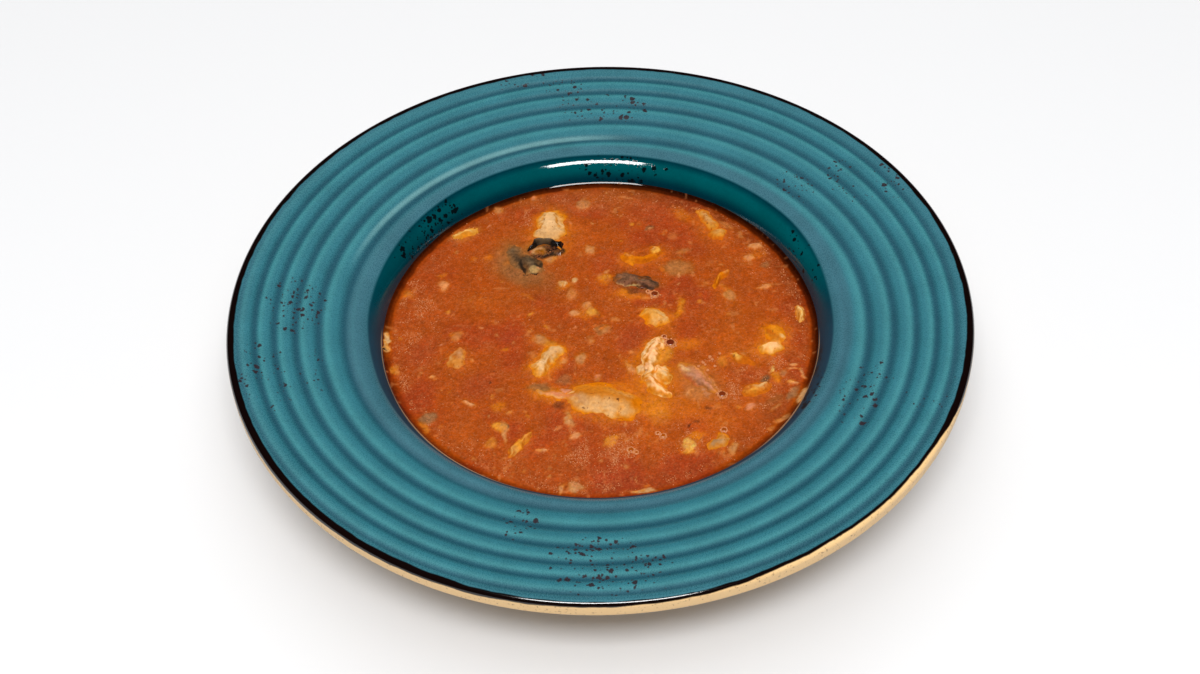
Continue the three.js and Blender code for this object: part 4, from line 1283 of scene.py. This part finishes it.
# A part is a bent lens: x, y, length, width, heading and rise, then how far its spine bends, in degrees,
# and how far it sinks. Its grain is lumps or streaks.
# halo is the broth's colour beside the piece, its strength and its reach. film is how much broth lies
# on the piece, and roughness is how high its grain is. Its edge slopes down to the broth over the width
# shore, and takes the broth's colour over the width fade.
# Patches lie under the broth's film and over on top of it: x, y, length, width, heading, colour,
# strength, softness.
morsels = {
    "fish_chunk_back": {
        "parts": [
            (-18.4, 56.8, 17.4, 12, 90, 2.4), (-20.8, 47, 19, 3.4, -3, 2.7, -180),
            (-18.9, 52, 13.4, 8, 0, 2.2), (-15.6, 44.8, 6, 4.2, -6, 2.1),
        ],
        "base": "cream", "halo": ("amber", 0.95, 3.4), "film": 0.08, "roughness": 0.2, "specks": 0.9,
        "gloss": 1.0, "fade": 3,
        "patches": [
            (-18, 65.4, 13, 4.6, 0, "gold", 0.8, 0.7), (-25.6, 58.6, 15, 4, 80, "amber", 0.9, 0.7),
            (-11.8, 58.6, 13, 4.6, 100, "gold", 0.85, 0.7), (-19.6, 54.6, 10, 9, 95, "white", 0.5, 0.9),
        ],
        "over": [
            (-19.2, 51.2, 11.4, 6, 0, "cream", 0.9, 0.5), (-20.6, 45.8, 16, 5.4, -4, "black", 1.0, 0.35),
            (-14.6, 45, 8, 5, -6, "black", 1.0, 0.3), (-26.4, 42.4, 8, 3.4, 76, "black", 0.95, 0.3),
            (-21, 47, 10.6, 3.4, 0, "slate", 0.95, 0.7), (-15.4, 46, 5, 1.4, -8, "slate", 0.4, 0.6),
            (-24.6, 43, 4.4, 0.9, 62, "tan", 0.75, 0.5), (-21.2, 44.2, 3.6, 0.8, 4, "tan", 0.5, 0.5),
        ],
    },
    "fish_skin_fold": {
        "parts": [
            (-31.6, 38.5, 17, 7.6, -68, 0.9, 22), (-26, 34.6, 12, 9, -60, 1.8),
            (-28.8, 36, 10, 9, 20, 1.2),
        ],
        "base": "slate", "halo": ("olive", 0.9, 6.0), "grain": "streaks", "film": 0.05, "roughness": 0.9,
        "shore": 4.4, "fade": 4.2, "gloss": 0.5,
        "patches": [
            (-33.6, 41.6, 8, 5, -66, "grey", 0.3, 0.8), (-30.2, 37.4, 9, 5, -60, "bark", 0.75, 0.6),
            (-28, 31.6, 6, 3.4, -70, "bark", 0.7, 0.6), (-26.4, 35.4, 8, 3, -70, "slate", 0.8, 0.6),
        ],
        "over": [
            (-24.2, 36.4, 6, 3.6, 12, "charcoal", 0.55, 0.6),
            (-22.8, 33.6, 5, 2.4, 10, "charcoal", 0.8, 0.5),
            (-29, 32.2, 7.4, 1.7, -72, "black", 0.7, 0.6), (-31, 35.8, 6, 1.2, -64, "charcoal", 0.4, 0.7),
            (-25.4, 28.6, 8, 2, 14, "black", 0.9, 0.5), (-24.4, 31.2, 5.4, 2.6, 32, "straw", 0.7, 0.4),
            (-22.4, 32.4, 2.2, 1.2, 24, "peach", 0.7, 0.5),
        ],
    },
    "fish_skin_strip": {
        "parts": [(14.2, 23.8, 18, 7.6, -14, 1.7, -20)],
        "base": "hide", "halo": ("brown", 0.6, 2.4), "film": 0.05, "roughness": 1.5, "shore": 2.4,
        "fade": 1.1, "specks": 1.6, "gloss": 0.2,
        "patches": [
            (9.4, 25, 7, 4, -4, "grey", 0.3, 0.8), (14.4, 25.4, 10, 2.2, -8, "bark", 0.45, 0.6),
            (18.6, 23.6, 7, 1.6, -30, "bark", 0.5, 0.6), (21.4, 21, 5, 2.6, -35, "bark", 0.6, 0.6),
            (5.6, 24.4, 3.4, 5, 0, "brown", 0.8, 0.7), (16, 22.6, 6, 1.4, -16, "slate", 0.6, 0.6),
        ],
        "over": [
            (13.2, 20.8, 6, 1.7, -5, "straw", 0.95, 0.4), (8.2, 21.8, 3.4, 1.8, -10, "tan", 0.8, 0.5),
            (19.6, 19.6, 6.4, 1.2, -25, "black", 0.55, 0.6), (16.4, 20.2, 5, 0.9, -14, "umber", 0.7, 0.5),
            (11.6, 26.4, 5, 1.2, -8, "grey", 0.5, 0.6), (17.6, 25.4, 4, 1.2, -20, "charcoal", 0.5, 0.6),
            (10.6, 24, 3.6, 1.6, 20, "bark", 0.5, 0.6), (20.6, 22.6, 3, 1.4, -50, "charcoal", 0.5, 0.6),
        ],
    },
    "fish_chunk_front": {
        "parts": [(1, -36, 29, 15.5, -14, 2.4, -6), (-17.5, -32, 16, 4.2, -14, 1.2, 16)],
        "base": "honey", "halo": ("amber", 1.0, 4.0), "film": 0.14, "roughness": 0.22, "specks": 0.7,
        "shore": 7,
        "patches": [
            (1, -31, 22, 5, -14, "gold", 0.5, 0.8), (0, -29.4, 16, 4.4, -8, "honey", 0.6, 0.9),
            (8, -33.2, 12, 5, -24, "tan", 0.55, 0.9), (1.8, -40, 22, 8, -14, "cream", 0.8, 0.75),
            (1.6, -41, 12, 5, -12, "white", 0.35, 0.9), (-8, -36, 7, 5, -34, "tan", 0.9, 0.6),
            (-6.6, -39.6, 6, 4, 20, "cream", 0.7, 0.6), (12.4, -38, 6, 6, 0, "amber", 0.9, 0.6),
            (-14.6, -33.2, 12, 3.6, -16, "pink", 0.8, 0.5), (-10, -35.6, 5, 1.6, -30, "cream", 0.6, 0.6),
            (-19.8, -32.2, 7, 1.6, -18, "peach", 0.85, 0.5), (-22.6, -30.8, 4, 3, 0, "tan", 0.5, 0.7),
        ],
        "over": [
            # the first of these is a painted highlight, a thin white line along the pink tail
            (-13, -31.4, 5.4, 1.3, -4, "white", 0.85, 0.5), (-16, -33.4, 6, 0.8, -16, "cream", 0.5, 0.6),
        ],
    },
    "fish_flake_ridge": {
        "parts": [
            (18.2, -17.8, 28, 8.6, -99.5, 2.6, 49), (21.4, -24.4, 10.5, 8, -50, 2.3),
            (15.6, -21.6, 7, 6, 60, 1.9), (20.1, -30.8, 13.0, 6.4, -42, 1.9),
        ],
        "base": "white", "halo": ("amber", 1.0, 4.6), "film": 0.04, "roughness": 0.42, "fade": 1.3,
        "patches": [
            (19.6, -13.2, 13, 4.4, 62, "flash", 0.9, 0.5),
            (22.8, -14.4, 11, 3.6, 66, "marigold", 0.9, 0.6), (15.8, -21, 4, 3, 60, "peach", 0.6, 0.6),
            (19.8, -22.6, 6, 4, -20, "flash", 0.7, 0.7), (23, -26.4, 7, 5, -50, "gold", 0.6, 0.7),
            (20.8, -23.4, 6, 2, -20, "flash", 0.7, 0.6), (23, -25.6, 5, 1.4, -34, "white", 0.7, 0.6),
            (16, -27.4, 3.4, 2.4, -60, "peach", 0.6, 0.6),
            (21.6, -31.2, 11, 4.8, -42, "flash", 0.95, 0.5), (24.8, -35, 4, 2.4, -40, "gold", 0.8, 0.6),
            (17.6, -32.6, 4, 4, 0, "amber", 0.8, 0.6),
        ],
        "over": [
            (18.2, -24.8, 6, 1, 25, "amber", 0.65, 0.6), (20.6, -28.2, 7, 1.1, -35, "amber", 0.75, 0.6),
            (21.4, -18.6, 5, 1, 50, "amber", 0.5, 0.6), (16.6, -18.4, 3.4, 0.8, -20, "amber", 0.5, 0.6),
        ],
    },
    "fish_flake_left": {
        "parts": [
            (-17.7, -12.3, 10, 6.6, 52, 1.4), (-21.8, -18.9, 10.5, 7.6, 68, 1.7),
            (-19.6, -15.4, 9, 6.4, 58, 1.6),
        ],
        "base": "cream", "halo": ("amber", 0.95, 3.2), "film": 0.08, "roughness": 0.28,
        "patches": [
            (-22.4, -18.6, 7, 5, 60, "white", 0.8, 0.7), (-18, -12.4, 6, 4, 50, "tan", 0.35, 0.8),
            (-15.4, -14.6, 6, 2.6, 60, "gold", 0.7, 0.6), (-25, -21.6, 5, 2.6, 40, "gold", 0.8, 0.6),
        ],
    },
    "fish_flakes_right": {
        "parts": [(55.6, -32.3, 12.5, 5.4, 26, 1.6, 24)],
        "base": "gold", "halo": ("orange", 0.8, 3.0), "film": 0.15, "fade": 2.8,
        "patches": [
            (52.2, -32.6, 4.4, 3, 40, "white", 0.9, 0.6), (57.2, -31.2, 5.6, 3, 30, "cream", 0.95, 0.6),
            (59.6, -31.4, 2.6, 1.8, 40, "flash", 0.9, 0.5), (52, -34, 5, 2.4, 20, "gold", 0.7, 0.6),
        ],
    },
    "fish_skin_shred": {
        "parts": [(34.8, -26.6, 20, 7.4, -50, 0.8, -12)],
        "base": "mauve", "halo": ("honey", 0.5, 4.6), "grain": "streaks", "film": 0.12, "fade": 3.2,
        "patches": [
            (30, -21.4, 5.4, 1.6, -40, "white", 0.8, 0.6), (36.8, -26.2, 15, 3, -58, "pink", 0.75, 0.7),
            (39.6, -31.6, 6, 1.6, -56, "peach", 0.6, 0.6), (31, -26, 6, 3, -40, "olive", 0.35, 0.8),
        ],
        "over": [
            (32.4, -27.4, 11, 1.6, -54, "rose", 0.4, 0.7), (36.2, -30.6, 9, 1.2, -56, "umber", 0.35, 0.7),
            (38.2, -28.6, 8, 0.9, -58, "brown", 0.3, 0.6), (35.6, -24.6, 12, 1, -56, "peach", 0.45, 0.6),
            (38.6, -31, 8, 0.9, -58, "pink", 0.45, 0.6), (29.4, -28.6, 5, 2.6, -50, "tan", 0.5, 0.7),
        ],
    },
    "yellow_piece_left": {
        "parts": [(-52, 53, 11.5, 4.8, 20, 1.3, 12, 1.6)],
        "base": "lemon", "halo": ("gold", 0.8, 1.6), "film": 0.1,
        "patches": [
            (-52.6, 51, 13, 2.8, 20, "amber", 0.9, 0.6), (-53, 54, 6, 2, 22, "white", 0.6, 0.7),
            (-47.4, 54.4, 3, 3, 0, "gold", 0.7, 0.6),
        ],
    },
    "yellow_piece_back": {
        "parts": [(43.6, 57.6, 13.5, 6.6, -64, 1.1), (47, 49.2, 8, 7.2, 20, 1.1)],
        "base": "gold", "halo": ("orange", 0.6, 3.0), "film": 0.4,
        "patches": [
            (43.4, 58, 9, 4, -64, "tan", 0.8, 0.7), (42.6, 60.4, 2, 1.6, 0, "orange", 0.8, 0.5),
            (47.6, 49.6, 5, 4, 20, "tan", 0.55, 0.7), (46, 46.6, 5, 2, 10, "gold", 0.6, 0.6),
        ],
    },
    "yellow_piece_right": {
        "parts": [(62.2, -12.4, 11, 6.8, 20, 1.5), (64.8, -5.4, 10.5, 8, -58, 0.9)],
        "base": "honey", "halo": ("amber", 1.0, 3.4), "film": 0.06, "roughness": 0.35,
        "patches": [
            (62.2, -12.6, 10, 5.6, 24, "yellow", 1.0, 0.5), (62.6, -12.2, 8, 4.2, 24, "flash", 0.9, 0.8),
            (65.4, -3.8, 9, 4, -56, "marigold", 0.9, 0.6), (68, -8, 5, 2, -56, "cream", 0.9, 0.5),
            (62.6, -4.2, 6, 1.4, -50, "orange", 0.8, 0.6), (61.6, -6.6, 3, 2.4, 0, "marigold", 0.8, 0.6),
        ],
    },
    "yellow_sliver": {
        "parts": [(74.6, 4.6, 9.6, 4.6, 92, 1.1, 0, 1.5)],
        "base": "lemon", "halo": ("orange", 0.5, 1.2), "film": 0.1,
        "patches": [
            (75, 7.6, 3, 1.4, 80, "white", 0.7, 0.6), (74, 3, 5, 1.4, 86, "gold", 0.6, 0.6),
        ],
    },
    "orange_hook": {
        "parts": [
            (17.2, 35.4, 18, 4.4, 8, 1.4, 112), (12, 36, 8, 5.6, -50, 1.1), (22.6, 40, 7, 5, 70, 1.5),
        ],
        "base": "amber", "halo": ("orange", 0.8, 2.8), "film": 0.1, "roughness": 0.8, "fade": 1.3,
        "patches": [
            (22.6, 40.6, 6.4, 3.4, 76, "yellow", 0.9, 0.6), (22, 41.6, 2.4, 1.6, 70, "white", 0.8, 0.6),
            (11.6, 37.4, 4, 2.6, -30, "peach", 0.7, 0.6), (12.6, 34, 4, 2.4, 10, "marigold", 0.7, 0.6),
            (9.6, 34.4, 3, 3, 0, "orange", 0.6, 0.7),
        ],
    },
    "orange_curl": {
        "parts": [(46, 24, 11.5, 2.8, -122, 1.2, 46)],
        "base": "amber", "halo": ("orange", 0.7, 1.8), "grain": "streaks", "film": 0.1,
        "patches": [
            (48.8, 27.4, 3.4, 1.4, 50, "peach", 0.7, 0.5), (45.6, 23.6, 4, 1.6, 60, "gold", 0.5, 0.6),
        ],
    },
    "orange_slice": {
        "parts": [(51.6, -17.8, 12, 4.8, -34, 1.2, -24)],
        "base": "honey", "halo": ("orange", 0.7, 2.6), "film": 0.2, "fade": 2.4,
        "patches": [
            (49.4, -16.6, 4.6, 3, -50, "yellow", 0.9, 0.6), (47.4, -15.6, 2.6, 1.4, 20, "pink", 0.8, 0.5),
            (54.4, -20, 8, 4, -24, "orange", 0.8, 0.8),
        ],
    },
    "orange_strip": {
        "parts": [(-29.2, -55, 13.5, 3.8, 54, 1.4, 14)],
        "base": "gold", "halo": ("orange", 0.7, 2.4), "grain": "streaks", "film": 0.12,
        "patches": [
            (-31.4, -58.4, 4, 2.6, 50, "tan", 0.6, 0.6), (-27, -52, 6, 2, 58, "peach", 0.4, 0.6),
        ],
    },
    "cream_lump": {
        "parts": [(20.6, 4.6, 12, 8.4, -42, 1.6)],
        "base": "cream", "halo": ("amber", 0.85, 2.8), "film": 0.14, "roughness": 0.7, "fade": 2.2,
        "patches": [
            (19.4, 5.2, 9, 6, -40, "gold", 0.55, 0.8), (17.2, 3.4, 4.4, 3.6, 0, "amber", 0.85, 0.6),
            (20.8, 7.8, 5, 1.6, -10, "tan", 0.6, 0.6),
        ],
    },
    "soft_piece_left": {
        "parts": [(-52.6, -13.4, 11.5, 7.4, 66, 1)],
        "base": "tan", "halo": ("orange", 0.7, 2.6), "film": 0.25,
        "patches": [
            (-52.4, -11, 7, 4.4, 70, "mauve", 0.45, 0.7), (-53.6, -15.6, 5, 4, 20, "gold", 0.45, 0.7),
            (-49.6, -13, 8, 1.6, 88, "gold", 0.4, 0.6),
        ],
    },
    "grey_piece_front": {
        "parts": [(40, -56.6, 8.8, 6, 34, 1.3)],
        "base": "tan", "halo": ("amber", 0.5, 2.2), "film": 0.3,
        "patches": [
            (40, -55.4, 5, 3, 40, "grey", 0.6, 0.6), (37.6, -58, 3, 2.4, 0, "grey", 0.4, 0.6),
            (42.4, -54.4, 3, 2, 40, "peach", 0.7, 0.5),
        ],
    },
}
lens = {
    "lift": 0.2,  # the widest line lies this far above the broth
    "sink": 4.5,  # how far it reaches below that line
    "bluntness": 2.6,  # more makes its ends squarer
    "wobble": 0.14,
    "rings": 34,
    "sides": 36,
    "seedStep": 0.37,
    "voxel": 0.3,
    "smoothing": 3,
}


def lensPoints(part, seed):
    # one bent lens of food with an uneven outline
    x, y, length, width, heading, rise, bend, sink = fullPart(part)
    random = seededRandom(seed)
    waves = [(count, next(random), next(random)) for count in (1, 2)]
    along = (1 - np.cos(np.pi * np.arange(lens["rings"] + 2) / (lens["rings"] + 1))) / 2
    angle = 2 * np.pi * np.arange(lens["sides"]) / lens["sides"]
    along, angle = np.meshgrid(along, angle, indexing="ij")
    fullness = np.clip(1 - np.abs(2 * along - 1) ** lens["bluntness"], 0, 1) ** 0.5
    wobble = np.ones_like(along)
    for count, left, right in waves:
        side = (1 + np.tanh(4 * np.cos(angle))) / 2
        for share, phase in ((side, right), (1 - side, left)):
            wobble += share * lens["wobble"] / count * np.sin(2 * np.pi * (count * along + phase))
    bend, middle = math.radians(bend or 0.01), math.radians(heading)
    radius = length / bend
    turned = middle + bend * (along - 0.5)
    across = width / 2 * wobble * fullness * np.cos(angle)
    up = np.where(np.sin(angle) > 0, rise, sink) * fullness * np.sin(angle)
    grid = np.stack([
        x + radius * (np.sin(turned) - math.sin(middle)) - across * np.sin(turned),
        y - radius * (np.cos(turned) - math.cos(middle)) + across * np.cos(turned),
        soup["level"] + lens["lift"] + up,
    ], -1)
    return np.vstack([grid[1:-1].reshape(-1, 3), grid[0, :1], grid[-1, :1]])


def lensMesh(part, seed):
    points = lensPoints(part, seed)
    rows, columns = lens["rings"], lens["sides"]
    faces = [face[::-1] for face in latheFaces(rows, columns, len(points) - 2, len(points) - 1)]
    return points, faces


def grainRelief(piece, points):
    # the surface's own form: lumps, or streaks that lie along the spine
    streaked = piece.get("grain") == "streaks"
    depth = 0.24 if streaked else 0.36
    rough = depth * noise(points, 2.7, 73) + 0.15 * noise(points, 1.3, 71) + 0.08 * noise(points, 0.8, 72)
    if not streaked:
        return rough
    outside = np.full(len(points), 1e9)
    wave = np.zeros(len(points))
    for part in piece["parts"]:
        gap, across = spineDistance(part, points)
        place = (across + 0.8 * noise(points, 5, 75)) / 1.8
        ridge = 0.5 - np.abs((place % 1) - 0.3) * 1.1
        wave = np.where(gap < outside, ridge, wave)
        outside = np.minimum(gap, outside)
    return rough + 0.2 * wave * smoothStep(-0.4, 0.5, noise(points, 6, 76))


def depthInside(piece, points, key, widest, share):
    # 0 at the piece's uneven outline, 1 where it is far enough inside it
    full = np.zeros(len(points))
    for part in piece["parts"]:
        inside = -spineDistance(part, warped(points))[0] + 0.7 * noise(points, 2.2, 86) * (key == "fade")
        full = np.maximum(full, smoothStep(-0.2, piece.get(key, min(widest, share * part[3])), inside))
    return full


def morselTint(piece, points, relief, normals):
    uneven = warped(points)
    pale = palette[piece["base"]][0] > 180
    around = palette[piece["halo"][0]]
    tint = np.tile(np.array(palette[piece["base"]], float), (len(points), 1))
    paint(tint, uneven, piece["patches"])
    # broth lies in the hollows and laps over the edges; the steep sides of pale pieces are painted amber, as
    # painted light that glows through them
    border = 1 - depthInside(piece, points, "fade", 2.4, 0.3)
    blend(tint, (0.92 if pale else 0.75) * border, around)
    # painted light: the raised lumps of pale pieces are painted whiter
    if pale:
        blend(tint, 0.35 * smoothStep(0.1, 0.5, relief) * (1 - border), palette["white"])
    film = smoothStep(0.2, 0.8, noise(points, 3.2, 81) + 0.6 * noise(points, 1.4, 82) + piece["film"])
    cover = 0.6 * smoothStep(0.0, -0.45, relief) + 1.3 * film * piece["film"]
    blend(tint, np.clip(cover, 0, 0.8), around)
    height = points[:, 2] - soup["level"]
    wet = 1 - smoothStep(-0.1, 0.25, height + 0.15 * noise(points, 1.6, 83))
    blend(tint, 0.85 * wet, around)
    if pale:
        blend(tint, 0.7 * smoothStep(0.07, 0.42, 1 - normals[:, 2]), around)
        # painted light: the sides turned from the lamp are painted lighter as well
        tint *= (1 + 0.1 * smoothStep(0.08, 0.6, normals[:, 1]))[:, None]
    paint(tint, uneven, piece.get("over", []))
    blend(tint, piece.get("specks", 0.5) * smoothStep(0.72, 0.86, noise(points, 0.65, 84)), palette["umber"])
    # painted shade and light: a little darker in the grain's hollows and lighter on its raised parts, with a
    # random tone
    tint *= (1 + 0.1 * relief + 0.05 * noise(points, 1.1, 85) + 0.05 * noise(points, 0.7, 87))[:, None]
    return np.clip(tint, 0, 300)


def makeMorsel(name, piece, seed):
    points, faces = np.empty((0, 3)), []
    for index, part in enumerate(piece["parts"]):
        more, moreFaces = lensMesh(part, seed + index * lens["seedStep"])
        faces += [tuple(corner + len(points) for corner in face) for face in moreFaces]
        points = np.vstack([points, more])
    points[:, :2] -= unevenness(points[:, :2])
    rough = makeObject(name + "_rough", points, faces)
    remesh = rough.modifiers.new("voxels", "REMESH")
    remesh.mode, remesh.voxel_size, remesh.use_smooth_shade = "VOXEL", lens["voxel"] * mm, True
    smooth = rough.modifiers.new("smooth", "SMOOTH")
    smooth.iterations = lens["smoothing"]
    made = bakeModifiers(rough, name + "_food")
    points, normals = meshValues(made, "co") / mm, meshValues(made, "normal")
    relief = grainRelief(piece, points) * piece.get("roughness", 1)
    ashore = depthInside(piece, points, "shore", 5, 0.5)
    shown = smoothStep(-1.2, 0.2, points[:, 2] - soup["level"]) * smoothStep(0.02, 0.5, ashore)
    points = points + normals * (relief * shown)[:, None]
    height = points[:, 2] - soup["level"]
    points[:, 2] = soup["level"] + np.where(height > 0, height * (0.08 + 0.92 * ashore), height)
    movePoints(made, points)
    tint = morselTint(piece, meshValues(made, "co") / mm, relief, meshValues(made, "normal"))
    setAttribute(made, "tint", linear(tint))
    setAttribute(made, "gloss", piece.get("gloss", 0) * smoothStep(100, 50, tint.mean(axis=1)))
    return made


def foodMaterial(name, rough, glow, reliefDepth, mottle):
    material, tree, shader = newMaterial(name)
    place = addNode(tree, "ShaderNodeTexCoord").outputs["Object"]
    fine = noiseOf(place, 0.9, 3)
    fibre = noiseOf(place, 0.5, 2, 0.6)
    gloss = attributeOf(tree, "gloss")
    satin = between(fine, 0.3, 0.7, (rough - 0.08, rough + 0.1))
    setInputs(shader, {
        "Base Color": shaded(
            attributeOf(tree, "tint", "Color"),
            between(fine, 0.3, 0.7, (1 - mottle, 1 + mottle)),
            between(fibre, 0.3, 0.7, (-0.06, 0.06)),
        ),
        "Roughness": fadeTo(gloss, satin, 0.12),
        "Normal": bumpOf(calc("MULTIPLY_ADD", fibre, 0.6, fine), reliefDepth, 0.7),
        "Coat Weight": times(gloss, 0.9),
        "Coat Roughness": 0.08,
        "Subsurface Weight": glow,
        "Subsurface Radius": (1.0, 0.7, 0.5),
        "Subsurface Scale": 0.7 * mm,
        "Specular IOR Level": 0,
        "IOR": 1.4,
    })
    return material


# slot: roughness, light that passes through, depth of fine relief, mottling
foodFinishes = {
    "fish_flesh": (0.55, 0.15, 0.1, 0.08),
    "fish_skin": (0.58, 0.0, 0.35, 0.3),
    "pink_skin": (0.55, 0.1, 0.1, 0.12),
    "yellow_piece": (0.5, 0.15, 0.08, 0.08),
    "orange_piece": (0.55, 0.12, 0.08, 0.1),
    "soft_piece": (0.55, 0.12, 0.08, 0.08),
}


makeCamera()
makeLamps()
bpy.context.scene.view_settings.view_transform = "Standard"
world = bpy.data.worlds.new("room")
bpy.context.scene.world = world
world.use_nodes = True
setInputs(world.node_tree.nodes["Background"], {0: (1, 1, 1, 1), 1: studio["room"]})
world.cycles_visibility.glossy = False

half = studio["floorSize"] / 2 / mm
corners = [(-half, -half, 0), (half, -half, 0), (half, half, 0), (-half, half, 0)]
floor = makeObject("floor", corners, [(0, 1, 2, 3)])
floorMaterial, _, floorShader = newMaterial("pale_floor")
setInputs(floorShader, {"Base Color": (*studio["floorColour"], 1), "Roughness": 0.9})
floor.data.materials.append(floorMaterial)
print("camera, lamps and floor are set")

glazeLook = glazeMaterial()
soupPlate = makePlate()
soupPlate = runTree(soupPlate, spiralRibTree(), {**rib, "Material": glazeLook}, "soup_plate")
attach(soupPlate, "root")
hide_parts("plate")
print("plate made:", len(soupPlate.data.polygons), "faces")

broth = makeSoup()
broth.data.materials.append(brothMaterial())
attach(broth, "root")
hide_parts("soup")
print("broth made:", len(broth.data.polygons), "faces")

beads = makeFoam(broth)
domes = makeBubbles()
domes.data.materials.append(foodMaterial("bubble_film", *dome["film"]))
for piece in (beads, domes):
    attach(piece, "root")
print("foam made:", len(beads.data.polygons), "faces")

slots = {row["node"]: row["material_slot"] for row in frame["record"]["subparts"]}
foodLooks = {slot: foodMaterial(slot + "_finish", *finish) for slot, finish in foodFinishes.items()}
for number, (node, piece) in enumerate(morsels.items()):
    food = makeMorsel(node, piece, number + 1)
    food.data.materials.append(foodLooks[slots[node]])
    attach(food, "root")
    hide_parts(node)
print("pieces of food made:", len(morsels))
